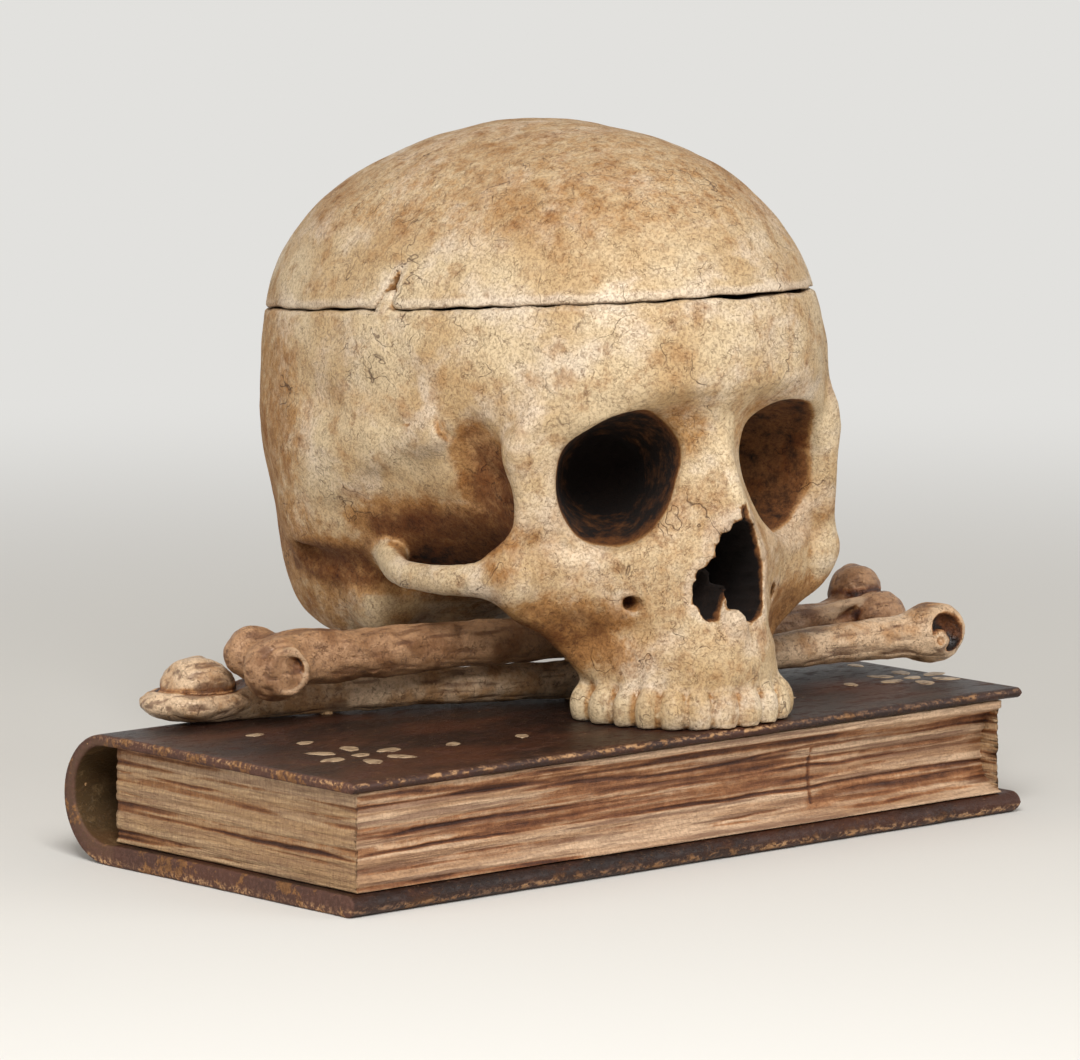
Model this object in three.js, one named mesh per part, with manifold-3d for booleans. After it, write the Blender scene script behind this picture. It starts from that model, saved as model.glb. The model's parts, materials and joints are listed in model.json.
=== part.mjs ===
// A carved wooden skull whose crown lifts off as a lid. The skull stands on two crossed
// long bones and a closed book. Millimetres, +Z up, +X along the book, the reader's
// side of the book towards -Y. The origin is the centre of the book's underside.

import * as THREE from 'three';
import { mergeVertices } from 'three/addons/utils/BufferGeometryUtils.js';
import Module from 'manifold-3d';

const wasm = await Module();
wasm.setup();

// Driving dimensions of the closed book.
const bookLength = 250;
const bookWidth = 125;
const bookHeight = 36.3;
const lowerBoardThickness = 6;
const upperBoardThickness = 3;
const spineDepth = 18;
const spineThickness = 4.4;
const pageNearEndInset = 3.5;
const pageFarEndInset = 6.5;
const pageFrontInset = 1.6;
const pageBackGap = 1.2;
const hollowDepthNear = 1.2;
const hollowDepthFar = 7.5;
const hollowMargin = 1.5;

// Driving dimensions of the crossed bones.
const boneDiameter = 12.5;

// Driving dimensions of the skull.
const skullLength = 194.4;
const skullWidth = 139;
const skullHeight = 163;
const skullTurn = THREE.MathUtils.degToRad(-8);
const wallThickness = 7.5;
const bowlFloorHeight = 46;
const bowlFloorRounding = 30;
const orbitWidth = 38.4;
const orbitHeight = 39.2;
const orbitDepth = 42;
const orbitTurn = THREE.MathUtils.degToRad(16);
const noseWidth = 24;
const noseHeight = 35;
const noseDepth = 25;
const cheekHoleDiameter = 4.4;
const crownHeight = 17;

// Driving dimensions of the lift-off crown.
const cutHeight = 112.4;
const cutTilt = THREE.MathUtils.degToRad(-5.1);
const notchWidth = 6.6;
const notchTopWidth = 1.3;
const notchHeight = 9.4;
const tabHeight = 5;
const tabRoot = 4;

// Driving dimensions of the dowels and pegs.
const dowelDiameter = 5;
const frontDowelDiameter = 8;
const pegDiameter = 4;
const dowelDepthInPages = 18;
const crossingDowelEmbed = 9;
const frontDowelEmbed = 9;
const pegDepthInPages = 10;
const pegDepthInBone = 8;

// Clearances and cutting allowances.
const seatGap = 0.3;
const overrun = 5;
const weldTolerance = 1e-4;

// How finely round shapes are cut into flats, and how the skin seeks its surface.
const lobeSides = 12;
const lobeRings = 8;
const pinSides = 14;
const shaftSides = 10;
const ridgeSides = 8;
const crownSides = 8;
const crownRings = 6;
const orbitSides = 18;
const hollowSides = 20;
const spineSteps = 14;
const boardEdgeSteps = 6;
const mostSteps = 90;
const strideShare = 0.8;
const nearEnough = 1e-5;

// Heights and places that follow from the driving dimensions.
const coverTop = bookHeight;
const toothLine = coverTop + seatGap;
const spineJoin = bookWidth / 2 - spineDepth;
const pageTop = bookHeight - upperBoardThickness - seatGap;
const pageBottom = lowerBoardThickness + seatGap;

// The skull's tables are shares of one unit, in a frame with x to its left, y to its
// back and z up from the tooth line. The tabled form is this many units wide, long and
// high, so the named sizes give the unit its length along each axis.
const formShares = [0.739, 1.034, 0.867];
const skullUnits = new THREE.Vector3(
  skullWidth / formShares[0],
  skullLength / formShares[1],
  skullHeight / formShares[2],
);
const skullUnit = skullUnits.y;
const skullPlaceShares = [0.116, 0.318];

// Lobes of the braincase: centre, radii and the width of the soft join to the rest.
const braincaseShares = [
  { centre: [0, -0.032, 0.504], radii: [0.367, 0.473, 0.362], join: 0 },
  { centre: [0, -0.25, 0.541], radii: [0.266, 0.282, 0.277], join: 0.096 },
  { centre: [0.101, 0.101, 0.53], radii: [0.239, 0.351, 0.266], join: 0.053 },
  { centre: [0, 0.229, 0.349], radii: [0.298, 0.245, 0.266], join: 0.096 },
  { centre: [0.138, 0.074, 0.371], radii: [0.218, 0.282, 0.234], join: 0.064 },
  { centre: [0.117, 0.176, 0.19], radii: [0.186, 0.202, 0.149], join: 0.064 },
];
// Where the skins of the braincase and the face start from, and how far out.
const braincaseCentreShares = [0, -0.02, 0.42];
const faceCentreShares = [0, -0.34, 0.27];
const reachShare = 0.8;
const templeHollowShares = { centre: [0.319, -0.293, 0.334], radii: [0.064, 0.053, 0.117], join: 0.043 };

// Lobes under the braincase: the keel over the bones and the floor round the neck.
const underLobeShares = [
  { centre: [0, 0.053, 0.254], radii: [0.234, 0.298, 0.096], join: 0.053 },
  { centre: [0, -0.202, 0.243], radii: [0.117, 0.138, 0.112], join: 0.043 },
];
// The mastoid, as rows of x, y, z and radius.
const mastoidShares = [
  [0.266, 0.053, 0.296, 0.064],
  [0.266, 0.037, 0.222, 0.059],
  [0.261, 0.016, 0.158, 0.043],
  [0.255, 0.005, 0.126, 0.027],
];

// The brow and the rim outside each orbit, from the middle out, as rows of x, y, z
// and radius.
const browShares = [
  [0, -0.479, 0.488, 0.035],
  [0.096, -0.473, 0.493, 0.032],
  [0.181, -0.436, 0.482, 0.028],
  [0.239, -0.404, 0.448, 0.025],
  [0.269, -0.386, 0.4, 0.024],
  [0.274, -0.372, 0.344, 0.023],
  [0.271, -0.362, 0.286, 0.027],
  [0.264, -0.355, 0.238, 0.037],
];
// The bridge of the nose, and the slip of bone between it and each orbit.
const noseBridgeShares = [
  [0, -0.455, 0.47, 0.026],
  [0, -0.487, 0.408, 0.022],
  [0, -0.513, 0.36, 0.02],
  [0, -0.532, 0.322, 0.019],
];
const noseSideShares = [
  [0.02, -0.445, 0.45, 0.022],
  [0.04, -0.457, 0.355, 0.021],
  [0.066, -0.463, 0.286, 0.029],
  [0.101, -0.447, 0.225, 0.046],
];

// All the ridges of the face, each with its soft join and its rows.
const faceRidgeShares = [
  { join: 0, rows: browShares },
  { join: 0.027, rows: noseBridgeShares },
  { join: 0.032, rows: noseSideShares },
  {
    join: 0.037,
    rows: [
      [0.096, -0.447, 0.219, 0.043],
      [0.165, -0.426, 0.209, 0.04],
      [0.231, -0.383, 0.211, 0.043],
      [0.266, -0.34, 0.222, 0.035],
    ],
  },
  {
    join: 0.027,
    rows: [
      [0.239, -0.351, 0.19, 0.027],
      [0.202, -0.351, 0.147, 0.024],
      [0.16, -0.346, 0.11, 0.027],
    ],
  },
  {
    join: 0.032,
    rows: [
      [0, -0.513, 0.099, 0.045],
      [0.064, -0.497, 0.099, 0.045],
      [0.106, -0.452, 0.099, 0.043],
      [0.122, -0.394, 0.099, 0.04],
      [0.125, -0.351, 0.105, 0.037],
    ],
  },
];
const faceLobeShares = [
  { centre: [0.234, -0.356, 0.201], radii: [0.048, 0.043, 0.048], join: 0.027 },
  { centre: [0.074, -0.431, 0.163], radii: [0.101, 0.106, 0.096], join: 0.043 },
  { centre: [0, -0.394, 0.126], radii: [0.117, 0.138, 0.064], join: 0.032 },
  { centre: [0, -0.309, 0.328], radii: [0.202, 0.16, 0.149], join: 0.053 },
  { centre: [0.17, -0.319, 0.352], radii: [0.095, 0.112, 0.138], join: 0.043 },
];

// The cheek arch, as rows of x, y, z and radius. Its section is flattened sideways.
const archShares = [
  [0.255, -0.365, 0.222, 0.035],
  [0.303, -0.319, 0.216, 0.028],
  [0.327, -0.266, 0.211, 0.022],
  [0.332, -0.202, 0.209, 0.02],
  [0.33, -0.138, 0.209, 0.021],
  [0.309, -0.08, 0.216, 0.024],
  [0.265, -0.01, 0.235, 0.033],
];
const archFlatShare = 0.72;

const orbitCentreShares = [0.154, -0.447, 0.363];
const orbitDriftShares = [-0.17, -0.03];
const orbitDroopShare = 0.16;
const squareness = 2.8;
// The orbit's taper, as rows of depth and radius, both as shares of its own size.
const orbitTaperShares = [
  [-0.6, 0],
  [-0.6, 1.04],
  [-0.1, 1.02],
  [0.1, 0.97],
  [0.3, 0.86],
  [0.55, 0.68],
  [0.8, 0.47],
  [0.95, 0.27],
  [1, 0],
];

const noseCentreShares = [0, -0.532, 0.235];
// The nose opening's two low lobes and its high one: half width as a share of the
// opening's width, then half height and height above its centre as shares of its height.
const noseLowLobeShares = [0.26, 0.29, -0.17];
const noseHighLobeShares = [0.29, 0.36, 0.15];
const cheekHoleShares = [0.133, -0.47, 0.185];

// The line that the tooth crowns follow, from the middle out, and the width and half
// depth of each crown.
const toothRowShares = [
  [0, -0.537],
  [0.064, -0.524],
  [0.112, -0.481],
  [0.138, -0.415],
  [0.144, -0.346],
];
const crownWidthShares = [0.045, 0.037, 0.04, 0.038, 0.038, 0.05, 0.048];
const crownDepthShares = [0.022, 0.022, 0.026, 0.027, 0.027, 0.03, 0.03];
// Each crown's centre above the tooth line, as a share of its height, and how far it
// runs into its neighbours, as a share of its width.
const crownRiseShare = 0.42;
const crownSpreadShare = 1.04;

// The notch in the crown's right side, in shares of the skull's length from its centre.
const notchShares = [-0.3, -0.133];
const notchReachShare = 0.16;

// The bones' centrelines: x as a share of the book's length, y of the book's width
// and z in bone diameters above the cover.
const lowerBoneShares = [
  [-0.364, 0.368, 0.47],
  [-0.16, 0.22, 0.46],
  [0.044, 0.072, 0.46],
  [0.2, -0.04, 0.62],
  [0.348, -0.148, 0.88],
  [0.484, -0.244, 1.02],
];
const upperBoneShares = [
  [-0.332, 0.208, 1.43],
  [-0.17, 0.136, 1.47],
  [-0.012, 0.064, 1.49],
  [0.07, 0.058, 1.45],
  [0.19, 0.052, 1.24],
  [0.388, 0.04, 0.95],
  [0.49, 0.048, 1],
];
// Thickness along each bone: rows of place along the bone and radius in bone diameters.
const lowerBoneProfileShares = [
  [0, 0],
  [0.01, 0.3],
  [0.04, 0.46],
  [0.12, 0.43],
  [0.3, 0.42],
  [0.5, 0.42],
  [0.7, 0.41],
  [0.86, 0.45],
  [0.94, 0.52],
  [0.985, 0.5],
  [1, 0],
];
const upperBoneProfileShares = [
  [0, 0],
  [0.01, 0.45],
  [0.05, 0.6],
  [0.12, 0.56],
  [0.3, 0.52],
  [0.5, 0.52],
  [0.7, 0.5],
  [0.88, 0.54],
  [0.95, 0.6],
  [0.99, 0.5],
  [1, 0],
];
// Swellings at the bones' ends: place along the bone, then the centre's offset and the
// radii, along, across and up, in bone diameters. Across is towards the reader's side.
const lowerBoneLobeShares = [
  { at: 0, offset: [0, 0, -0.02], radii: [1.32, 1.02, 0.46] },
  { at: 0, offset: [0.05, 0, 0.42], radii: [0.9, 0.78, 0.6] },
  { at: 1, offset: [0, 0, 0], radii: [0.74, 0.7, 0.7] },
];
const upperBoneLobeShares = [
  { at: 0, offset: [0.1, 0.45, -0.1], radii: [0.8, 0.5, 0.72] },
  { at: 0, offset: [0, -0.45, 0.2], radii: [0.7, 0.5, 0.62] },
  { at: 1, offset: [0.3, -0.15, 0.58], radii: [0.64, 0.62, 0.64] },
  { at: 1, offset: [0.25, 0.65, 0.15], radii: [0.75, 0.5, 0.5] },
];

const crossingShares = [0.06, 0.06];
const frontDowelShares = [0, -0.405];
const gumShare = 0.7;
const bonePegShare = 0.17;

// Solids from shapes

function solidFrom(geometry) {
  const bare = geometry.clone();
  bare.deleteAttribute('normal');
  bare.deleteAttribute('uv');
  const merged = mergeVertices(bare, weldTolerance);
  const corners = merged.index.array;
  const kept = [];
  for (let i = 0; i < corners.length; i += 3) {
    const [a, b, c] = [corners[i], corners[i + 1], corners[i + 2]];
    if (a !== b && b !== c && c !== a) {
      kept.push(a, b, c);
    }
  }
  const vertProperties = Float32Array.from(merged.attributes.position.array);
  const triVerts = Uint32Array.from(kept);
  return new wasm.Manifold(new wasm.Mesh({ numProp: 3, vertProperties, triVerts }));
}

function joined(solids) {
  return solids.reduce((whole, solid) => whole.add(solid));
}

function cutBy(solid, tools) {
  return tools.reduce((rest, tool) => rest.subtract(tool), solid);
}

function meshFrom(name, solid, look) {
  const { vertProperties, triVerts } = solid.getMesh();
  const geometry = new THREE.BufferGeometry();
  geometry.setAttribute('position', new THREE.BufferAttribute(vertProperties, 3));
  geometry.setIndex(new THREE.BufferAttribute(triVerts, 1));
  geometry.computeVertexNormals();
  const mesh = new THREE.Mesh(geometry, new THREE.MeshStandardMaterial(look));
  mesh.name = name;
  return mesh;
}

function moveCorners(geometry, move) {
  const place = geometry.attributes.position;
  const corner = new THREE.Vector3();
  for (let i = 0; i < place.count; i += 1) {
    move(corner.fromBufferAttribute(place, i));
    place.setXYZ(i, corner.x, corner.y, corner.z);
  }
  return geometry;
}

// A section drawn with x as the part's Y and y as its Z, carried along X.
function alongLength(shape, from, to, curveSegments) {
  const geometry = new THREE.ExtrudeGeometry(shape, {
    depth: to - from,
    bevelEnabled: false,
    curveSegments,
  });
  const turn = new THREE.Matrix4().set(0, 0, 1, from, 1, 0, 0, 0, 0, 1, 0, 0, 0, 0, 0, 1);
  return solidFrom(geometry.applyMatrix4(turn));
}

function block(low, high) {
  const size = high.map((value, i) => value - low[i]);
  const geometry = new THREE.BoxGeometry(...size);
  geometry.translate(...low.map((value, i) => value + size[i] / 2));
  return solidFrom(geometry);
}

function upright(diameter, place, bottom, top, growth = 0) {
  const height = top - bottom + 2 * growth;
  const radius = diameter / 2 + growth;
  const geometry = new THREE.CylinderGeometry(radius, radius, height, pinSides);
  geometry.rotateX(Math.PI / 2);
  geometry.translate(place.x, place.y, (top + bottom) / 2);
  return solidFrom(geometry);
}

// The book

function boardSection(bottom, thickness) {
  const nose = thickness / 2;
  const front = -bookWidth / 2;
  const shape = new THREE.Shape();
  shape.moveTo(spineJoin - seatGap, bottom);
  shape.lineTo(spineJoin - seatGap, bottom + thickness);
  shape.lineTo(front + nose, bottom + thickness);
  shape.absarc(front + nose, bottom + nose, nose, Math.PI / 2, (3 * Math.PI) / 2, false);
  shape.closePath();
  return shape;
}

function board(bottom, thickness) {
  return alongLength(boardSection(bottom, thickness), -bookLength / 2, bookLength / 2, boardEdgeSteps);
}

function bookSpine() {
  const quarter = Math.PI / 2;
  const hollowTop = bookHeight - upperBoardThickness;
  const hollowMiddle = (hollowTop + lowerBoardThickness) / 2;
  const hollowHalf = (hollowTop - lowerBoardThickness) / 2;
  const shape = new THREE.Shape();
  shape.moveTo(spineJoin, 0);
  shape.absellipse(spineJoin, bookHeight / 2, spineDepth, bookHeight / 2, -quarter, quarter, false);
  shape.lineTo(spineJoin, hollowTop);
  shape.absellipse(spineJoin, hollowMiddle, spineDepth - spineThickness, hollowHalf, quarter, -quarter, true);
  shape.closePath();
  return alongLength(shape, -bookLength / 2, bookLength / 2, spineSteps);
}

// The scooped front of the pages, shallow at one end of the book and deep at the other.
function pageHollow() {
  const front = pageFrontInset - bookWidth / 2;
  const middle = (pageTop + pageBottom) / 2;
  const half = (pageTop - pageBottom) / 2 - hollowMargin;
  const unit = new THREE.CylinderGeometry(1, 1, 1, hollowSides);
  unit.rotateZ(-Math.PI / 2);
  const scoop = moveCorners(unit, (corner) => {
    const along = corner.x + 0.5;
    const depth = hollowDepthNear + (hollowDepthFar - hollowDepthNear) * along;
    corner.set(corner.x * (bookLength + overrun), front + depth * corner.y, middle + half * corner.z);
  });
  return solidFrom(scoop);
}

function pageBlock() {
  const low = [pageNearEndInset - bookLength / 2, pageFrontInset - bookWidth / 2, pageBottom];
  const high = [bookLength / 2 - pageFarEndInset, spineJoin - pageBackGap, pageTop];
  return block(low, high).subtract(pageHollow());
}

// The bones

function bonePath(shares) {
  const points = shares.map(([x, y, z]) => new THREE.Vector3(
    x * bookLength,
    y * bookWidth,
    coverTop + z * boneDiameter,
  ));
  return new THREE.CatmullRomCurve3(points);
}

function bonePlace(path, at) {
  const centre = path.getPointAt(at);
  const along = path.getTangentAt(at);
  const side = new THREE.Vector3().crossVectors(along, new THREE.Vector3(0, 0, 1)).normalize();
  const up = new THREE.Vector3().crossVectors(side, along);
  return { centre, along, side, up };
}

function boneShaft(path, profileShares, growth) {
  const rows = profileShares.map(([at, radius]) => new THREE.Vector2(
    radius > 0 ? radius * boneDiameter + growth : 0,
    at,
  ));
  const lathe = new THREE.LatheGeometry(rows, shaftSides);
  return solidFrom(moveCorners(lathe, (corner) => {
    const { centre, side, up } = bonePlace(path, corner.y);
    const [across, rise] = [corner.x, corner.z];
    corner.copy(centre).addScaledVector(side, across).addScaledVector(up, rise);
  }));
}

function boneLobe(path, lobe, growth) {
  const { centre, along, side, up } = bonePlace(path, lobe.at);
  const [alongOffset, sideOffset, upOffset] = lobe.offset.map((share) => share * boneDiameter);
  const middle = centre.clone()
    .addScaledVector(along, alongOffset)
    .addScaledVector(side, sideOffset)
    .addScaledVector(up, upOffset);
  const radii = lobe.radii.map((share) => share * boneDiameter + growth);
  const ball = new THREE.SphereGeometry(1, lobeSides, lobeRings);
  ball.applyMatrix4(new THREE.Matrix4().makeScale(radii[0], radii[1], radii[2]));
  ball.applyMatrix4(new THREE.Matrix4().makeBasis(along, side.clone().negate(), up));
  ball.translate(middle.x, middle.y, middle.z);
  return solidFrom(ball);
}

function bone(path, profileShares, lobes, growth = 0) {
  return joined([
    boneShaft(path, profileShares, growth),
    ...lobes.map((lobe) => boneLobe(path, lobe, growth)),
  ]);
}

// The skull's form as a distance field in shares of its length

function softJoin(a, b, width) {
  if (width === 0) {
    return Math.min(a, b);
  }
  const mix = THREE.MathUtils.clamp(0.5 + (0.5 * (b - a)) / width, 0, 1);
  return b + (a - b) * mix - width * mix * (1 - mix);
}

function softCut(a, b, width) {
  return -softJoin(-a, b, width);
}

function lobeDistance(point, { centre, radii }) {
  const x = (point.x - centre[0]) / radii[0];
  const y = (point.y - centre[1]) / radii[1];
  const z = (point.z - centre[2]) / radii[2];
  const near = Math.hypot(x, y, z);
  const slope = Math.hypot(x / radii[0], y / radii[1], z / radii[2]);
  return slope > 0 ? (near * (near - 1)) / slope : -Math.min(...radii);
}

// A ridge's rows, smoothed into short round cones.
function ridge(rows) {
  const steps = 3 * (rows.length - 1);
  const places = new THREE.CatmullRomCurve3(rows.map((row) => new THREE.Vector3(...row)));
  return Array.from({ length: steps + 1 }, (_, i) => {
    const along = (i / steps) * (rows.length - 1);
    const row = Math.min(Math.floor(along), rows.length - 2);
    const radius = THREE.MathUtils.lerp(rows[row][3], rows[row + 1][3], along - row);
    return { place: places.getPoint(i / steps), radius };
  });
}

const between = new THREE.Vector3();
const offAxis = new THREE.Vector3();

function ridgeDistance(point, cones) {
  let nearest = Infinity;
  for (let i = 0; i + 1 < cones.length; i += 1) {
    between.subVectors(cones[i + 1].place, cones[i].place);
    offAxis.subVectors(point, cones[i].place);
    const along = THREE.MathUtils.clamp(offAxis.dot(between) / between.lengthSq(), 0, 1);
    const radius = THREE.MathUtils.lerp(cones[i].radius, cones[i + 1].radius, along);
    nearest = Math.min(nearest, offAxis.addScaledVector(between, -along).length() - radius);
  }
  return nearest;
}

const mastoid = ridge(mastoidShares);
const faceCones = faceRidgeShares.map(({ join, rows }) => ({ join, cones: ridge(rows) }));

function lobesDistance(point, lobes, start) {
  return lobes.reduce((near, lobe) => softJoin(near, lobeDistance(point, lobe), lobe.join), start);
}

function braincaseField(point) {
  const whole = lobesDistance(point, braincaseShares, Infinity);
  return softCut(whole, lobeDistance(point, templeHollowShares), templeHollowShares.join);
}

function lowerSkullField(point) {
  const under = lobesDistance(point, underLobeShares, ridgeDistance(point, mastoid));
  return softJoin(braincaseField(point), under, underLobeShares[0].join);
}

function faceField(point) {
  const ridges = faceCones.reduce(
    (near, { join, cones }) => softJoin(near, ridgeDistance(point, cones), join),
    Infinity,
  );
  return lobesDistance(point, faceLobeShares, ridges);
}

// Draws a ball's corners in towards a centre until they meet the field's surface.
function skin(field, centreShares, around, down) {
  const ball = new THREE.SphereGeometry(1, around, down);
  const centre = new THREE.Vector3(...centreShares);
  const probe = new THREE.Vector3();
  const mirrored = new THREE.Vector3();
  return solidFrom(moveCorners(ball, (corner) => {
    const heading = corner.clone().normalize();
    let reach = reachShare;
    for (let step = 0; step < mostSteps; step += 1) {
      probe.copy(centre).addScaledVector(heading, reach);
      const gap = field(mirrored.set(Math.abs(probe.x), probe.y, probe.z));
      if (gap < nearEnough) {
        break;
      }
      reach -= strideShare * gap;
    }
    corner.copy(probe).multiply(skullUnits);
    corner.z += toothLine;
  }));
}

function skullSpot([x, y, z]) {
  const spot = new THREE.Vector3(x, y, z).multiply(skullUnits);
  spot.z += toothLine;
  return spot;
}

// The skull's parts, in its own frame

function orbit(side, growth) {
  const rows = orbitTaperShares.map(([depth, radius]) => new THREE.Vector2(radius, depth));
  const lathe = new THREE.LatheGeometry(rows, orbitSides);
  const centre = skullSpot([side * orbitCentreShares[0], orbitCentreShares[1], orbitCentreShares[2]]);
  const halfWidth = orbitWidth / 2 + growth;
  const halfHeight = orbitHeight / 2 + growth;
  moveCorners(lathe, (corner) => {
    const radius = Math.hypot(corner.x, corner.z);
    const flat = (Math.abs(corner.x / (radius || 1)) ** squareness
      + Math.abs(corner.z / (radius || 1)) ** squareness) ** (1 / squareness);
    const spread = 1 / (flat || 1);
    const inward = Math.max(corner.y, 0);
    const across = corner.x * spread * halfWidth + orbitDriftShares[0] * orbitWidth * inward;
    const droop = -orbitDroopShare * corner.x * spread * halfWidth;
    const rise = corner.z * spread * halfHeight + droop + orbitDriftShares[1] * orbitHeight * inward;
    corner.set(across, corner.y * (orbitDepth + growth), rise);
  });
  lathe.rotateZ(orbitTurn);
  if (side < 0) {
    lathe.scale(-1, 1, 1);
    lathe.setIndex(Array.from(lathe.index.array).reverse());
  }
  lathe.translate(centre.x, centre.y, centre.z);
  return solidFrom(lathe);
}

function ellipsoid(centre, radii) {
  const ball = new THREE.SphereGeometry(1, lobeSides, lobeRings);
  ball.scale(...radii);
  ball.translate(centre.x, centre.y, centre.z);
  return solidFrom(ball);
}

function noseLobe([widthShare, heightShare, riseShare], across) {
  const centre = skullSpot(noseCentreShares);
  centre.x += across;
  centre.z += riseShare * noseHeight;
  return ellipsoid(centre, [widthShare * noseWidth, noseDepth, heightShare * noseHeight]);
}

function noseOpening() {
  return joined([
    noseLobe(noseLowLobeShares, -noseWidth / 4),
    noseLobe(noseLowLobeShares, noseWidth / 4),
    noseLobe(noseHighLobeShares, 0),
  ]);
}

function cheekHole(side) {
  const centre = skullSpot([side * cheekHoleShares[0], cheekHoleShares[1], cheekHoleShares[2]]);
  const radius = cheekHoleDiameter / 2;
  const geometry = new THREE.CylinderGeometry(radius, radius, noseDepth, ridgeSides);
  geometry.translate(centre.x, centre.y, centre.z);
  return solidFrom(geometry);
}

// A round or flattened ridge through rows of x, y, z and radius.
function ridgeSolid(rows, flatShare = 1) {
  const path = new THREE.CatmullRomCurve3(rows.map(skullSpot));
  const last = rows.length - 1;
  const steps = 2 * last;
  const profile = Array.from({ length: steps + 1 }, (_, i) => {
    const row = Math.min(Math.floor(i / 2), last - 1);
    const radius = THREE.MathUtils.lerp(rows[row][3], rows[row + 1][3], i / 2 - row);
    return new THREE.Vector2(radius * skullUnit, i / steps);
  });
  const rowsOut = [new THREE.Vector2(0, 0), ...profile, new THREE.Vector2(0, 1)];
  const lathe = new THREE.LatheGeometry(rowsOut, ridgeSides);
  return solidFrom(moveCorners(lathe, (corner) => {
    const at = corner.y;
    const [across, rise] = [corner.x * flatShare, corner.z];
    const along = path.getTangent(at);
    const sideways = new THREE.Vector3().crossVectors(along, new THREE.Vector3(0, 0, 1)).normalize();
    const up = new THREE.Vector3().crossVectors(sideways, along);
    corner.copy(path.getPoint(at)).addScaledVector(sideways, across).addScaledVector(up, rise);
  }));
}

// Rows from the middle out, carried on across the middle to the other side.
function bothSides(rows) {
  const others = rows.slice(1).reverse().map((row) => onRight(row));
  return [...others, ...rows];
}

function onRight([x, ...rest]) {
  return [-x, ...rest];
}

function faceRidges() {
  const leftRidges = [ridgeSolid(archShares, archFlatShare), ridgeSolid(noseSideShares)];
  const rightRidges = [
    ridgeSolid(archShares.map(onRight), archFlatShare),
    ridgeSolid(noseSideShares.map(onRight)),
  ];
  return [ridgeSolid(bothSides(browShares)), ridgeSolid(noseBridgeShares), ...leftRidges, ...rightRidges];
}

function toothCrowns() {
  const rows = bothSides(toothRowShares).map(([x, y]) => skullSpot([x, y, 0]));
  const path = new THREE.CatmullRomCurve3(rows);
  const half = path.getLength() / 2;
  const crowns = [];
  let reach = 0;
  crownWidthShares.forEach((widthShare, i) => {
    const width = widthShare * skullUnit;
    const middle = Math.min(reach + width / 2, half);
    reach += width;
    for (const side of [-1, 1]) {
      const at = 0.5 + (side * middle) / (2 * half);
      crowns.push(toothCrown(path, at, width, crownDepthShares[i] * skullUnit));
    }
  });
  return joined(crowns);
}

function toothCrown(path, at, width, depth) {
  const place = path.getPointAt(at);
  const along = path.getTangentAt(at);
  const ball = new THREE.SphereGeometry(1, crownSides, crownRings);
  ball.rotateX(Math.PI / 2);
  ball.scale((width / 2) * crownSpreadShare, depth, crownHeight / 2);
  ball.rotateZ(Math.atan2(along.y, along.x));
  ball.translate(place.x, place.y, place.z + crownHeight * crownRiseShare);
  return solidFrom(ball);
}

// The half space above the saw cut, as a large tilted block.
function aboveCut(lowering) {
  const reach = 2 * skullLength;
  const height = 2 * skullHeight;
  const geometry = new THREE.BoxGeometry(reach, reach, height);
  geometry.translate(0, 0, height / 2 - lowering);
  geometry.rotateX(cutTilt);
  geometry.translate(0, 0, toothLine + cutHeight);
  return solidFrom(geometry);
}

// A wedge through the right wall: upright in front, sloping behind to a narrow top.
function notchWedge(height, root, growth) {
  const half = notchWidth / 2 + growth;
  const tip = notchTopWidth * (height / notchHeight) + growth;
  const rise = height + growth;
  const [x, y] = [notchShares[0] * skullUnits.x, notchShares[1] * skullUnits.y];
  const base = toothLine + cutHeight + y * Math.tan(cutTilt);
  const slope = half - (2 * half - tip) * (height / notchHeight);
  const shape = new THREE.Shape();
  shape.moveTo(-half, -root);
  shape.lineTo(half, -root);
  shape.lineTo(half, 0);
  shape.lineTo(slope, rise);
  shape.lineTo(-half, rise);
  shape.closePath();
  const depth = notchReachShare * skullUnit;
  const geometry = new THREE.ExtrudeGeometry(shape, { depth, bevelEnabled: false });
  const turn = new THREE.Matrix4().set(0, 0, 1, x - depth, 1, 0, 0, y, 0, 1, 0, base, 0, 0, 0, 1);
  return solidFrom(geometry.applyMatrix4(turn));
}


function bowlField(point) {
  const wall = wallThickness / skullUnit;
  const floor = bowlFloorHeight / skullUnits.z;
  const inner = braincaseField(point) + wall;
  return softCut(inner, point.z - floor, bowlFloorRounding / skullUnit);
}

function skullHollow() {
  const inner = skin(bowlField, braincaseCentreShares, 24, 14);
  return cutBy(inner, [orbit(-1, wallThickness / 2), orbit(1, wallThickness / 2)]);
}

function frontOfSkull() {
  const crownFloor = block(
    [-skullWidth, -skullLength, toothLine - skullHeight],
    [skullWidth, skullLength, toothLine],
  );
  const face = skin(faceField, faceCentreShares, 32, 24);
  const whole = joined([face, ...faceRidges(), toothCrowns()]);
  return whole.subtract(crownFloor);
}

const skullPlace = new THREE.Vector3(
  skullPlaceShares[0] * bookLength,
  skullPlaceShares[1] * bookWidth,
  0,
);
const skullToBook = new THREE.Matrix4()
  .makeTranslation(skullPlace.x, skullPlace.y, 0)
  .multiply(new THREE.Matrix4().makeRotationZ(skullTurn));

// A solid of the book's frame, taken into the skull's frame as a cutting tool.
function inSkullFrame(solid) {
  const { vertProperties, triVerts } = solid.getMesh();
  const geometry = new THREE.BufferGeometry();
  geometry.setAttribute('position', new THREE.BufferAttribute(vertProperties, 3));
  geometry.setIndex(new THREE.BufferAttribute(triVerts, 1));
  return solidFrom(geometry.applyMatrix4(skullToBook.clone().invert()));
}

// The dowels and pegs

const lowerPath = bonePath(lowerBoneShares);
const upperPath = bonePath(upperBoneShares);

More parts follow.
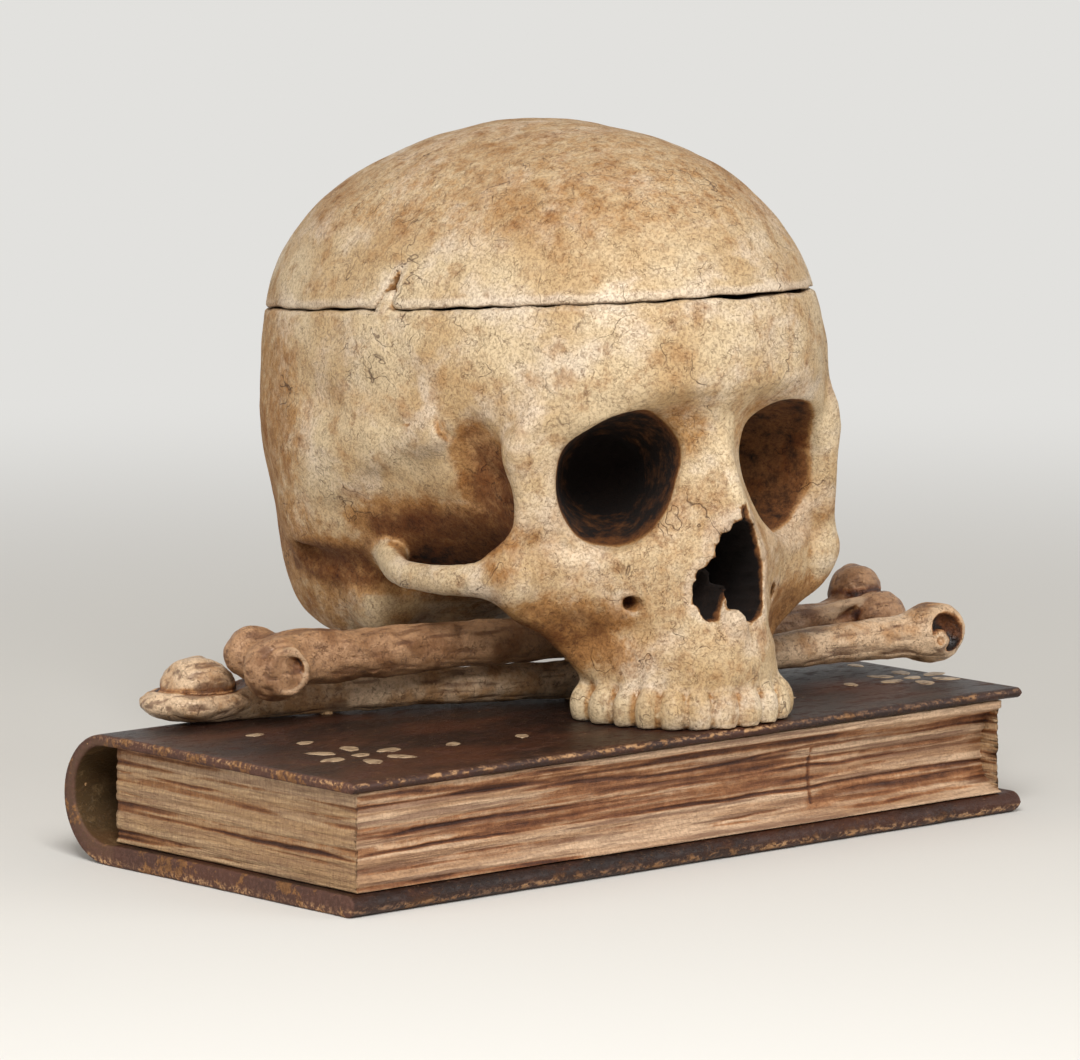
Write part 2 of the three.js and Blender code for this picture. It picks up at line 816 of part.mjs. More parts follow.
function crossingDowel(growth) {
  const place = new THREE.Vector3(crossingShares[0] * bookLength, crossingShares[1] * bookWidth, 0);
  const boneTop = coverTop + (upperBoneShares[2][2] + 0.5) * boneDiameter;
  return upright(dowelDiameter, place, pageTop - dowelDepthInPages, boneTop + crossingDowelEmbed, growth);
}

function frontDowel(growth) {
  const place = skullSpot([frontDowelShares[0], frontDowelShares[1], 0]).applyMatrix4(skullToBook);
  const top = toothLine + crownHeight * gumShare + frontDowelEmbed;
  return upright(frontDowelDiameter, place, pageTop - dowelDepthInPages, top, growth);
}

function bonePeg(growth) {
  const place = lowerPath.getPointAt(bonePegShare);
  const top = place.z - boneDiameter / 2 + pegDepthInBone;
  return upright(pegDiameter, place, pageTop - pegDepthInPages, top, growth);
}

function pins(growth) {
  return [crossingDowel(growth), frontDowel(growth), bonePeg(growth)];
}

// The assembly

const bookSpace = block(
  [-bookLength, -bookWidth, -bookHeight],
  [bookLength, bookWidth, coverTop + seatGap],
);
const lowerBone = cutBy(bone(lowerPath, lowerBoneProfileShares, lowerBoneLobeShares), [
  bookSpace,
  ...pins(seatGap),
]);
const lowerBoneSpace = bone(lowerPath, lowerBoneProfileShares, lowerBoneLobeShares, seatGap);
const upperBone = cutBy(bone(upperPath, upperBoneProfileShares, upperBoneLobeShares), [
  lowerBoneSpace,
  ...pins(seatGap),
]);
const upperBoneSpace = bone(upperPath, upperBoneProfileShares, upperBoneLobeShares, seatGap);

const skullOutside = skin(lowerSkullField, braincaseCentreShares, 36, 24);
const hollow = skullHollow();
const crown = cutBy(skullOutside.intersect(aboveCut(0)), [
  hollow,
  notchWedge(notchHeight, overrun, 0),
]);
const tab = notchWedge(tabHeight, tabRoot, -seatGap).intersect(skullOutside).subtract(hollow);
const belowCut = skullOutside.subtract(aboveCut(seatGap));
const cranium = cutBy(joined([belowCut, frontOfSkull()]), [
  hollow,
  orbit(-1, 0),
  orbit(1, 0),
  noseOpening(),
  cheekHole(-1),
  cheekHole(1),
  inSkullFrame(upperBoneSpace),
  inSkullFrame(lowerBoneSpace),
  ...pins(seatGap).map(inSkullFrame),
]).add(tab);

const bonePaint = { color: 0xc9b48c, roughness: 0.55, metalness: 0 };
const shaftPaint = { color: 0xb0946a, roughness: 0.55, metalness: 0 };
const coverStain = { color: 0x33201a, roughness: 0.35, metalness: 0 };
const pageStain = { color: 0x9a7a50, roughness: 0.7, metalness: 0 };
const plainWood = { color: 0xb98d5a, roughness: 0.7, metalness: 0 };

const skull = new THREE.Group();
skull.position.copy(skullPlace);
skull.rotation.z = skullTurn;
skull.add(meshFrom('cranium', cranium, bonePaint));
skull.add(meshFrom('skull_cap', crown, bonePaint));

const carving = new THREE.Group();
carving.add(
  meshFrom('lower_board', board(0, lowerBoardThickness), coverStain),
  meshFrom('upper_board', cutBy(
    board(bookHeight - upperBoardThickness, upperBoardThickness),
    pins(seatGap),
  ), coverStain),
  meshFrom('book_spine', bookSpine(), coverStain),
  meshFrom('page_block', cutBy(pageBlock(), pins(seatGap)), pageStain),
  meshFrom('lower_bone', lowerBone, shaftPaint),
  meshFrom('upper_bone', upperBone, shaftPaint),
  meshFrom('crossing_dowel', crossingDowel(0), plainWood),
  meshFrom('front_dowel', frontDowel(0), plainWood),
  meshFrom('bone_peg', bonePeg(0), plainWood),
  skull,
);

export default carving;
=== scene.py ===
# %% [markdown]
# # A carved wooden skull on crossed bones and a closed book
#
# The real object is one group of carvings in painted wood: a life-size skull whose crown
# lifts off as a lid, two long bones under it and a closed book under them. The packed
# model, called the frame here, says where each piece is and how large it is. This script
# gives each piece its carved surface and its finish, and changes no place and no size.
#
# The forms are worked out with numpy. A book cover or a block of pages is a section
# carried along a path, so its points are a function of two parameters. A skull has arches
# and hollows that no such grid can follow, so the skull and the bones are made another
# way: as a distance field, whose zero surface is then turned into a mesh.

# %% The frame
import json
import math

import bpy
import numpy as np
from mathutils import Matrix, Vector

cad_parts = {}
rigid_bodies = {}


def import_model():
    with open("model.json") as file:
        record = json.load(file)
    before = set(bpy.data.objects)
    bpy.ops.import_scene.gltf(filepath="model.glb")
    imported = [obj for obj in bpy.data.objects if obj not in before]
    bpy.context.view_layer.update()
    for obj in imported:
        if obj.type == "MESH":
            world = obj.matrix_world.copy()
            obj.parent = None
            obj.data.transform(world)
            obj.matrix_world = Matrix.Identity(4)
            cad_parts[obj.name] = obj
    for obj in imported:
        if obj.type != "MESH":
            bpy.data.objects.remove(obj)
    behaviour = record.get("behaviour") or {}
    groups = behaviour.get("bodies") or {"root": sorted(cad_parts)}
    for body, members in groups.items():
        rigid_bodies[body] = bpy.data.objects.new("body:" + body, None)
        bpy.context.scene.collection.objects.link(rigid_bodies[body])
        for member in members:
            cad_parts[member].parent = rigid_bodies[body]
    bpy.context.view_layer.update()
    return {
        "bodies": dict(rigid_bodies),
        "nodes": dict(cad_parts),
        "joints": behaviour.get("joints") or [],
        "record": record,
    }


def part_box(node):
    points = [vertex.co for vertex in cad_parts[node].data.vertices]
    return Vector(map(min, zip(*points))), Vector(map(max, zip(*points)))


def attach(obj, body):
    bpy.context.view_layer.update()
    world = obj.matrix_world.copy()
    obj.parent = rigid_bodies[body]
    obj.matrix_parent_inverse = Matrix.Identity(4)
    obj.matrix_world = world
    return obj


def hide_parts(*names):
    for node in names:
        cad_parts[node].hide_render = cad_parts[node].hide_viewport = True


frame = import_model()

board_low, board_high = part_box("upper_board")
under_low, under_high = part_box("lower_board")
_, spine_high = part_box("book_spine")
pages_low, pages_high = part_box("page_block")

BOOK_TABLE_LENGTH = 250.0
mm = (board_high.x - board_low.x) / BOOK_TABLE_LENGTH
print("one millimetre of the tables is", round(mm, 6), "metres")

# %% [markdown]
# ## Camera, floor and light
#
# The photograph was taken with a long lens from the left, a little above the book. A long
# lens flattens the picture, so the camera stands almost two metres off with a narrow
# view. The light is one large soft lamp above the camera, a weaker one at each side and a
# pale world, which is how a small studio lights a carving without hard shadows.

# %% Camera
CAMERA_AZIMUTH = -41.3
CAMERA_ELEVATION = 7.64
CAMERA_DISTANCE = 1.962
CAMERA_SENSOR = 36.0
CAMERA_LENS = 233.3
LOOK_AT = Vector((-0.0041, 0.0, 0.0869))


def stand(name, data, azimuth, elevation, distance):
    """A camera or a lamp that looks at the skull from a side given by two angles."""
    a, e = math.radians(azimuth), math.radians(elevation)
    away = Vector((math.sin(a) * math.cos(e), -math.cos(a) * math.cos(e), math.sin(e)))
    made = bpy.data.objects.new(name, data)
    made.location = LOOK_AT + away * distance
    made.rotation_euler = (-away).to_track_quat("-Z", "Y").to_euler()
    bpy.context.scene.collection.objects.link(made)
    return made


lens = bpy.data.cameras.new("camera")
lens.sensor_width = CAMERA_SENSOR
lens.lens = CAMERA_LENS
camera = stand("camera", lens, CAMERA_AZIMUTH, CAMERA_ELEVATION, CAMERA_DISTANCE)
bpy.context.scene.camera = camera

# %% [markdown]
# ## Words for nodes
#
# The finishes at the end are sums of patches, cracks and masks. A node's output is wrapped
# as a Value here, so that such a sum can be written as a sum, and each + or * in it makes
# one node. A number that is the same all over a surface is set on the shader's own socket.

# %% Values of nodes
class Value:
    """What a node gives out. It adds, subtracts and multiplies as a number does."""

    def __init__(self, socket):
        self.socket = socket
        self.tree = socket.id_data

    def __add__(self, other):
        return maths("ADD", self, other)

    def __sub__(self, other):
        return maths("SUBTRACT", self, other)

    def __rsub__(self, other):
        return maths("SUBTRACT", other, self)

    def __mul__(self, other):
        return maths("MULTIPLY", self, other)


def feed(socket, value):
    """Links an output to a socket, or sets a plain value on the socket itself."""
    if isinstance(value, Value):
        value = value.socket
    if isinstance(value, bpy.types.NodeSocket):
        socket.id_data.links.new(value, socket)
    else:
        socket.default_value = value


def add(tree, kind, inputs=None, **settings):
    """Adds a node. Each input is a plain value or an output to link from."""
    made = tree.nodes.new(kind)
    for name, value in settings.items():
        setattr(made, name, value)
    for name, value in (inputs or {}).items():
        feed(made.inputs[name], value)
    return made


def maths(operation, first, second=0.0, clamp=False):
    """One sum on two values. At least one is a Value, and its tree gets the node."""
    tree = (first if isinstance(first, Value) else second).tree
    made = add(tree, "ShaderNodeMath", {0: first, 1: second}, operation=operation, use_clamp=clamp)
    return Value(made.outputs[0])


def rise(value, start, end):
    """A smooth rise from 0, where the value is at start, to 1, where it is at end."""
    inputs = {"Value": value, "From Min": start, "From Max": end}
    made = add(value.tree, "ShaderNodeMapRange", inputs, interpolation_type="SMOOTHSTEP")
    return Value(made.outputs["Result"])


def coated(tone, *coats):
    """A colour under several coats, each an amount from 0 to 1 and the coat's colour."""
    for amount, over in coats:
        made = add(amount.tree, "ShaderNodeMix", {0: amount, 6: tone, 7: over}, data_type="RGBA")
        tone = Value(made.outputs[2])
    return tone


def colour(red, green, blue):
    """A colour as it looks on a screen, 0 to 255, as the linear colour that nodes use."""
    seen = np.array((red, green, blue)) / 255
    linear = np.where(seen <= 0.04045, seen / 12.92, ((seen + 0.055) / 1.055) ** 2.4)
    return (*linear.tolist(), 1.0)


def new_material(name):
    """A material with an empty tree, one Principled BSDF and its output."""
    material = bpy.data.materials.new(name)
    material.use_nodes = True
    tree = material.node_tree
    tree.nodes.clear()
    shader = add(tree, "ShaderNodeBsdfPrincipled")
    add(tree, "ShaderNodeOutputMaterial", {"Surface": shader.outputs["BSDF"]})
    return material, tree, shader


# %% Floor and lights
FLOOR_SIZE = 14.0
FLOOR_NEAR = 0.25
FLOOR_FAR = 1.1
FLOOR_ROUGHNESS = 0.9
BACKDROP_COLOUR = colour(226, 225, 222)
FLOOR_COLOUR = colour(222, 219, 213)
WORLD_COLOUR = colour(240, 236, 230)
WORLD_STRENGTH = 0.4

LAMPS = {
    "key": {"azimuth": -40, "elevation": 40, "distance": 1.3, "size": 0.6, "power": 15.5},
    "left_fill": {"azimuth": -100, "elevation": 25, "distance": 1.6, "size": 0.9, "power": 5},
    "right_fill": {"azimuth": 35, "elevation": 15, "distance": 1.6, "size": 0.9, "power": 6.5},
}


def floor():
    """A plain pale floor, level with the book's underside, that fades into the backdrop."""
    mesh = bpy.data.meshes.new("floor")
    half = FLOOR_SIZE / 2
    corners = [(-half, -half, 0), (half, -half, 0), (half, half, 0), (-half, half, 0)]
    mesh.from_pydata(corners, [], [(0, 1, 2, 3)])
    material, tree, shader = new_material("floor")
    shader.inputs["Base Color"].default_value = FLOOR_COLOUR
    shader.inputs["Roughness"].default_value = FLOOR_ROUGHNESS
    place = add(tree, "ShaderNodeTexCoord").outputs["Object"]
    away = add(tree, "ShaderNodeVectorMath", {0: place}, operation="LENGTH").outputs["Value"]
    direct = Value(add(tree, "ShaderNodeLightPath").outputs["Is Camera Ray"])
    seen = rise(Value(away), FLOOR_NEAR, FLOOR_FAR) * direct
    glow = add(tree, "ShaderNodeEmission", {"Color": BACKDROP_COLOUR, "Strength": 1.0})
    both = add(tree, "ShaderNodeMixShader", {0: seen, 1: shader.outputs["BSDF"], 2: glow.outputs[0]})
    feed(tree.nodes["Material Output"].inputs["Surface"], both.outputs[0])
    mesh.materials.append(material)
    made = bpy.data.objects.new("floor", mesh)
    bpy.context.scene.collection.objects.link(made)


def lamp(name, azimuth, elevation, distance, size, power):
    """A square lamp that faces the skull from the given side."""
    data = bpy.data.lights.new(name, "AREA")
    data.size = size
    data.energy = power
    stand(name, data, azimuth, elevation, distance)


def pale_world():
    """A soft even light from all sides, and a paler backdrop for the camera, for mirrors
    and for glass, which all see the background directly."""
    made = bpy.data.worlds.new("pale")
    made.use_nodes = True
    tree = made.node_tree
    tree.nodes.clear()
    soft = add(tree, "ShaderNodeBackground", {"Color": WORLD_COLOUR, "Strength": WORLD_STRENGTH})
    seen = add(tree, "ShaderNodeBackground", {"Color": BACKDROP_COLOUR, "Strength": 1.0})
    ray = add(tree, "ShaderNodeLightPath").outputs
    direct = maths("MAXIMUM", Value(ray["Is Camera Ray"]), ray["Is Glossy Ray"])
    direct = maths("MAXIMUM", direct, ray["Is Transmission Ray"])
    both = add(tree, "ShaderNodeMixShader", {0: direct, 1: soft.outputs[0], 2: seen.outputs[0]})
    add(tree, "ShaderNodeOutputWorld", {"Surface": both.outputs[0]})
    return made


floor()
for lamp_name, settings in LAMPS.items():
    lamp(lamp_name, **settings)
bpy.context.scene.world = pale_world()
bpy.context.scene.view_settings.view_transform = "Standard"

# %% [markdown]
# ## From numbers to a mesh
#
# Every new piece ends as an array of points and an array of four-cornered faces, and the
# same few lines put it into Blender. Masks that the finish needs, such as how deep a point
# lies in a recess, go with the points as attributes, so the paint follows the carving.

# %% Mesh from arrays
def mesh_object(name, points, quads, masks=None):
    """An object at the origin whose mesh has these points, in metres, and these faces."""
    mesh = bpy.data.meshes.new(name)
    mesh.vertices.add(len(points))
    mesh.vertices.foreach_set("co", np.asarray(points, np.float32).ravel())
    mesh.loops.add(quads.size)
    mesh.loops.foreach_set("vertex_index", quads.astype(np.int32).ravel())
    mesh.polygons.add(len(quads))
    mesh.polygons.foreach_set("loop_start", np.arange(0, quads.size, 4, dtype=np.int32))
    mesh.polygons.foreach_set("use_smooth", np.ones(len(quads), bool))
    mesh.update(calc_edges=True)
    mesh.validate()
    for mask, values in (masks or {}).items():
        layer = mesh.attributes.new(mask, "FLOAT", "POINT")
        layer.data.foreach_set("value", np.asarray(values, np.float32).ravel())
    made = bpy.data.objects.new(name, mesh)
    bpy.context.scene.collection.objects.link(made)
    print(name, len(points), "points", 2 * len(quads), "triangles")
    return made


def grid_faces(rows, columns, close_rows=False, close_columns=False):
    """Faces of a grid of points numbered row by row, which may close on itself."""
    r = np.arange(rows if close_rows else rows - 1)
    c = np.arange(columns if close_columns else columns - 1)
    r, c = (part.ravel() for part in np.meshgrid(r, c, indexing="ij"))
    here, down = r * columns, (r + 1) % rows * columns
    right = (c + 1) % columns
    return np.stack([here + c, down + c, down + right, here + right], 1)


# %% Noise
NOISE_VALUES = np.random.default_rng(7).uniform(-1, 1, 65536).astype(np.float32)
NOISE_STRIDES = np.array((7387, 19349, 83491))
NOISE_SEED_STRIDE = 1013


def noise(points, size, seed=0):
    """Smooth noise from -1 to 1: a random value at each corner of a lattice with cells of
    the given size, blended across each cell with a cubic ease."""
    place = np.asarray(points) / size
    cell = np.floor(place)
    ease = place - cell
    ease = ease * ease * (3 - 2 * ease)
    cell = cell.astype(np.int64)
    total = np.zeros(len(place))
    for corner in np.ndindex(2, 2, 2):
        weight = np.prod(np.where(corner, ease, 1 - ease), axis=1)
        key = ((cell + corner) @ NOISE_STRIDES + NOISE_SEED_STRIDE * seed) % len(NOISE_VALUES)
        total += weight * NOISE_VALUES[key]
    return total


# %% [markdown]
# ## Distance fields
#
# A distance field gives each point of space its distance to a surface, less than zero
# inside. Simple forms have simple fields, and soft minimum and maximum join and cut them
# with the rounded creases that a gouge and sandpaper leave. Points are three arrays, x, y
# and z, so that each form is worked out for all points at once.

# %% Simple forms
def soft_join(a, b, width):
    """The smaller of two distances, blended where they differ by less than width."""
    mix = np.clip(0.5 + 0.5 * (b - a) / width, 0, 1)
    return b + (a - b) * mix - width * mix * (1 - mix)


def soft_cut(a, b, width):
    """The larger of a and b, blended in the same way. Cutting with b passes it as -b."""
    return -soft_join(-a, -b, width)


def lobe(p, centre, radii):
    """Distance to an ellipsoid: its scaled radius less one, over how fast that grows."""
    x, y, z = (part - middle for part, middle in zip(p, centre))
    a, b, c = radii
    near = np.sqrt((x / a) ** 2 + (y / b) ** 2 + (z / c) ** 2)
    slope = np.sqrt((x / a ** 2) ** 2 + (y / b ** 2) ** 2 + (z / c ** 2) ** 2)
    return near * (near - 1) / np.maximum(slope, 1e-6)


def eased(share):
    """The four weights of a Catmull-Rom blend, for a share from 0 to 1 of one spacing."""
    one, two, three = share, share ** 2, share ** 3
    return (
        -0.5 * one + two - 0.5 * three, 1 - 2.5 * two + 1.5 * three,
        0.5 * one + 2 * two - 1.5 * three, -0.5 * two + 0.5 * three,
    )


def smooth_rows(rows, steps=4):
    """Rows of place and radius, with more rows between them on a Catmull-Rom curve."""
    rows = np.asarray(rows, float)
    ends = np.vstack([2 * rows[0] - rows[1], rows, 2 * rows[-1] - rows[-2]])
    along = np.linspace(0, len(rows) - 1, steps * (len(rows) - 1) + 1)
    start = np.minimum(along.astype(int), len(rows) - 2)
    t = (along - start)[:, None]
    a, b, c, d = (ends[start + i] for i in range(4))
    two, three = 2 * a - 5 * b + 4 * c - d, 3 * b - 3 * c + d - a
    return 0.5 * (2 * b + (c - a) * t + two * t ** 2 + three * t ** 3)


def rod(p, rows, steps=4):
    """Distance to a round bar through rows of x, y, z and radius."""
    nearest = None
    line = smooth_rows(rows, steps) if steps > 1 else np.asarray(rows, float)
    for (ax, ay, az, ar), (bx, by, bz, br) in zip(line[:-1], line[1:]):
        x, y, z = p[0] - ax, p[1] - ay, p[2] - az
        dx, dy, dz = bx - ax, by - ay, bz - az
        share = np.clip((x * dx + y * dy + z * dz) / (dx * dx + dy * dy + dz * dz), 0, 1)
        reach = np.sqrt((x - share * dx) ** 2 + (y - share * dy) ** 2 + (z - share * dz) ** 2)
        reach = reach - (ar + (br - ar) * share)
        nearest = reach if nearest is None else np.minimum(nearest, reach)
    return nearest


def blended(whole, forms):
    """Distances joined one after the other: rows of a distance and its blend's width."""
    for form, width in forms:
        whole = form if whole is None else soft_join(whole, form, width)
    return whole


def lobes(p, rows, whole=None):
    """A form with ellipsoids joined on: rows of centre, radii and the blend's width."""
    return blended(whole, ((lobe(p, centre, radii), width) for centre, radii, width in rows))


def turned(p, centre, degrees):
    """Points as seen from a centre by someone who turned about the upright axis."""
    t = math.radians(degrees)
    x, y = p[0] - centre[0], p[1] - centre[1]
    return x * math.cos(t) - y * math.sin(t), x * math.sin(t) + y * math.cos(t), p[2] - centre[2]


# %% [markdown]
# ## From a field to a surface
#
# The field is sampled on a grid of points. Each grid edge whose ends lie on two sides of
# the surface crosses it once. Each cell that holds such crossings gets one point, their
# mean, and the four cells round a crossed edge share one face. This is called surface
# nets, and it gives even four-cornered faces with no slivers. Most of the grid is far
# from the surface, so blocks of it are tried at their middle first, and only the blocks
# that the surface can cross are worked out in full.

# %% Surface nets
BLOCK = 4
BLOCK_REACH = 0.6
SLOPE_STEP = 0.4
SETTLE_MOST = 0.5


def grid_line(low, high, spacings):
    """Grid places from low to high. Spacings are rows of place and spacing there."""
    places, steps = np.asarray(spacings, float).T
    line = [low]
    while line[-1] < high:
        line.append(line[-1] + float(np.interp(line[-1], places, steps)))
    return np.array(line, np.float32)


def sampled(field, lines):
    """The field on the grid, exact near its surface and of the right sign elsewhere."""
    middles, sizes = [], []
    for line in lines:
        starts = np.arange(0, len(line), BLOCK)
        ends = np.minimum(starts + BLOCK, len(line) - 1)
        middles.append((line[starts] + line[ends]) / 2)
        sizes.append((line[ends] - line[starts]) * (BLOCK + 2) / BLOCK)
    coarse = field(np.meshgrid(*middles, indexing="ij"))
    sizes = np.meshgrid(*sizes, indexing="ij")
    reach = BLOCK_REACH * np.sqrt(sum(part ** 2 for part in sizes))
    near = np.abs(coarse) < reach
    for axis, line in enumerate(lines):
        coarse = np.repeat(coarse, BLOCK, axis)
        near = np.repeat(near, BLOCK, axis)
    shape = tuple(slice(0, len(line)) for line in lines)
    values, near = coarse[shape].astype(np.float32), near[shape]
    spots = np.nonzero(near)
    values[spots] = field([line[spot] for line, spot in zip(lines, spots)])
    return values


def surface_net(values, lines):
    """Points and faces of the surface where the sampled field is zero."""
    counts = np.array(values.shape)
    strides = np.array((counts[1] * counts[2], counts[2], 1))
    flat = values.ravel()
    cells, places, faces = [], [], []
    for axis in range(3):
        low = values[tuple(slice(0, -1) if k == axis else slice(None) for k in range(3))]
        high = values[tuple(slice(1, None) if k == axis else slice(None) for k in range(3))]
        spots = np.argwhere((low < 0) != (high < 0))
        start = spots @ strides
        a, b = flat[start], flat[start + strides[axis]]
        crossing = np.stack([line[spot] for line, spot in zip(lines, spots.T)], 1).astype(float)
        step = lines[axis][spots[:, axis] + 1] - lines[axis][spots[:, axis]]
        crossing[:, axis] += step * a / (a - b)
        u, v = strides[(axis + 1) % 3], strides[(axis + 2) % 3]
        around = np.stack([start - u - v, start - v, start, start - u], 1)
        cells.append(around.ravel())
        places.append(np.repeat(crossing, 4, axis=0))
        faces.append(np.where((a < 0)[:, None], around, around[:, ::-1]))
    used, numbers = np.unique(np.concatenate(cells), return_inverse=True)
    places = np.concatenate(places)
    count = np.bincount(numbers)
    points = np.stack([np.bincount(numbers, places[:, k]) / count for k in range(3)], 1)
    return points, np.searchsorted(used, np.concatenate(faces))


def slopes(field, points):
    """The field's outward direction at each point."""
    found = np.empty_like(points)
    for axis in range(3):
        ahead, behind = points.T.copy(), points.T.copy()
        ahead[axis] += SLOPE_STEP
        behind[axis] -= SLOPE_STEP
        found[:, axis] = field(ahead) - field(behind)
    return found / np.maximum(np.linalg.norm(found, axis=1, keepdims=True), 1e-9)


def settled(field, points):
    """Points moved once along the field's slope, which puts them on its surface."""
    gap = np.clip(field(points.T), -SETTLE_MOST, SETTLE_MOST)
    return points - slopes(field, points) * gap[:, None]


# %% Masks from a field
RECESS_REACHES = ((1.5, 0.2), (4.0, 0.3), (9.0, 0.3), (18.0, 0.2))
EDGE_DEPTH = 3.0


def recess_mask(field, points, normals):
    """How shut in a point is, from 0 in the open to 1 deep in a hollow. From an open point
    a step outwards gains its whole length in distance, and in a hollow it gains less."""
    shut = np.zeros(len(points))
    for reach, share in RECESS_REACHES:
        gained = field((points + normals * reach).T)
        shut += share * np.clip(1 - gained / reach, 0, 1)
    return shut


def edge_mask(field, points, normals):
    """How much a point stands proud. Under a ridge, a step inwards comes out of the far
    side again, so it is less deep than its length."""
    depth = -field((points - normals * EDGE_DEPTH).T)
    return np.clip(1 - depth / EDGE_DEPTH, 0, 1)


# %% [markdown]
# ## The skull's form
#
# The tables below are in millimetres, in a frame that has x towards the skull's left, y
# towards its back and z up from the table, with the origin under the middle of the head.
# Both halves share one table, because the field is asked with the size of x. What isn't
# the same on both sides, such as the broken edge of the nose, is asked with x itself. The
# last number of a row, and of a soft join or cut, is the width of its blend.

# %% Braincase
SKULL_PLACE_SHARES = (0.116, 0.318)
SKULL_TURN = math.radians(-8)
GUM_PLANE = 36.5
WALL = 7.5
BOWL_FLOOR = 82.3

BRAINCASE_LOBES = (
    ((0, -6, 131), (69, 89, 68), 0),
    ((0, -47, 138), (50, 53, 52), 18),
    ((19, 19, 136), (45, 66, 50), 10),
    ((0, 43, 102), (56, 46, 50), 18),
    ((26, 14, 106), (41, 53, 44), 12),
    ((22, 33, 72), (35, 38, 28), 12),
)


def braincase(p):
    """The round of the head, without the face: overlapping ellipsoids, softly joined."""
    return lobes(p, BRAINCASE_LOBES)


UNDERSIDE_LOBES = (
    ((0, 10, 84), (44, 56, 18), 0),
    ((47, 20, 88), (18, 26, 20), 6),
    ((47, 7, 66), (9.5, 11, 14), 5),
    ((46, 24, 65), (9, 10, 13), 5),
    ((44, 36, 66), (9, 12, 12), 6),
    ((0, -38, 82), (22, 26, 21), 8),
)


def underside(p):
    """The keel over the bones, the mastoid behind each ear and the palate's root."""
    return lobes(p, UNDERSIDE_LOBES)


# %% Face
BROW = (
    (0, -90, 128, 6.5), (18, -89, 129, 6), (34, -82, 127, 5.2), (44.5, -76.5, 120.5, 4.8),
    (49.5, -70.5, 113, 4.8), (47.8, -71, 101, 4.7), (47.8, -70.5, 91, 5), (49.5, -67, 81, 7),
)
NOSE_BRIDGE = (
    (0, -91, 121, 7), (0, -93, 113, 7), (0, -97, 104, 7), (0, -98, 96, 8), (0, -94, 84, 12),
)
NOSE_SIDE = ((5.5, -85, 115, 5), (8, -87, 103, 6.5), (11, -89, 92, 8), (13, -88, 82, 10))
CHEEK = ((18, -84, 77.5, 8), (31, -80, 75.5, 7.5), (43.5, -72, 76, 8), (50, -64, 78, 6.5))
CHEEK_ROOT = ((46, -66, 73, 6), (39, -67, 66.5, 6), (31, -68, 60, 6.5), (25, -70, 54, 7))
GUM = (
    (0, -96, 53.6, 8.5), (12, -92.5, 53.6, 8.5), (18, -85, 53.6, 8), (20, -74, 53.6, 7.5),
    (20.5, -66, 55, 7),
)
FACE_RIDGES = ((BROW, 0), (NOSE_BRIDGE, 5), (NOSE_SIDE, 6), (CHEEK, 7), (CHEEK_ROOT, 5), (GUM, 6))
FACE_LOBES = (
    ((44, -67, 74), (9, 8, 9), 5),
    ((14, -81, 67), (19, 20, 18), 8),
    ((0, -74, 60), (22, 26, 12), 6),
    ((0, -58, 98), (38, 30, 28), 10),
    ((30, -60, 102), (16, 21, 24), 8),
)


def face(p):
    """The brow, the nose, the cheeks and the upper jaw, before any hollow is cut."""
    ridges = blended(None, ((rod(p, rows), width) for rows, width in FACE_RIDGES))
    return lobes(p, FACE_LOBES, ridges)


FRONT_SPACING = 6.0
FRONT_TOP = 134.0
FRONT_YIELD = 0.05
FRONT_SLOPE = 0.8
FRONT = (
    (-103.6, -103.3, -102.3, -100.6, -98.3, -94.9, -90.6, -85, -79.5),
    (-99.3, -98.5, -96.5, -95.2, -94.3, -92, -88.3, -83.5, -78),
    (-95.8, -94.2, -90, -88.8, -89, -88.5, -86.5, -82.5, -77),
    (-96, -92.2, -88, -86.5, -86, -85, -82.8, -79.5, -75.5),
    (-98.2, -92, -87, -85.5, -85, -84, -82, -79, -75),
    (-101.2, -94.2, -87.3, -85, -84, -83, -81.5, -78.8, -74.8),
    (-104.2, -98.2, -90, -86, -84, -82, -80.2, -78, -74.2),
    (-105, -100.8, -93.2, -87.5, -84.5, -82.5, -79.8, -76.5, -73),
    (-105, -101.2, -96, -91, -87, -83, -79.5, -76, -71.5),
    (-104, -101, -96.8, -91.8, -86.5, -81.8, -78, -75, -71.5),
    (-103, -101, -97, -91.3, -85.5, -81, -77.5, -74.5, -71),
    (-104, -102, -98, -91.5, -84.5, -79, -75.5, -72.5, -70),
    (-104.5, -103, -99, -91.5, -82, -75, -72, -70, -68),
    (-105.5, -104, -100.5, -94.5, -84.5, -74, -70, -68, -66),
)


def before_face(p):
    """Distance in front of the face. FRONT says how far forward the face reaches: a row
    for each height from the brow down to the gum, and a place every few millimetres
    sideways from the middle. A cubic blends them, and over the brow the limit gives way."""
    table = np.pad(np.array(FRONT, float), 1, mode="reflect")
    rows, columns = len(FRONT), len(FRONT[0])
    down = np.clip((FRONT_TOP - p[2]) / FRONT_SPACING, 0, rows - 1.001)
    out = np.clip(p[0] / FRONT_SPACING, 0, columns - 1.001)
    row, column = down.astype(int), out.astype(int)
    reach = 0
    for i, share_down in enumerate(eased(down - row)):
        for k, share_out in enumerate(eased(out - column)):
            reach = reach + share_down * share_out * table[row + i, column + k]
    reach = reach - FRONT_YIELD * np.clip(p[2] - FRONT_TOP, 0, None) ** 2
    return FRONT_SLOPE * (reach - p[1])


ARCH = (
    (50, -66, 78, 7), (57, -60, 77, 5.2), (61.5, -50, 76, 4.2), (62.5, -38, 75.5, 3.8),
    (62, -26, 75.5, 3.9), (58, -15, 77, 4.6), (52, -4, 80, 6),
)
ARCH_FLATNESS = 1.35
ARCH_SLOPE = 1.15


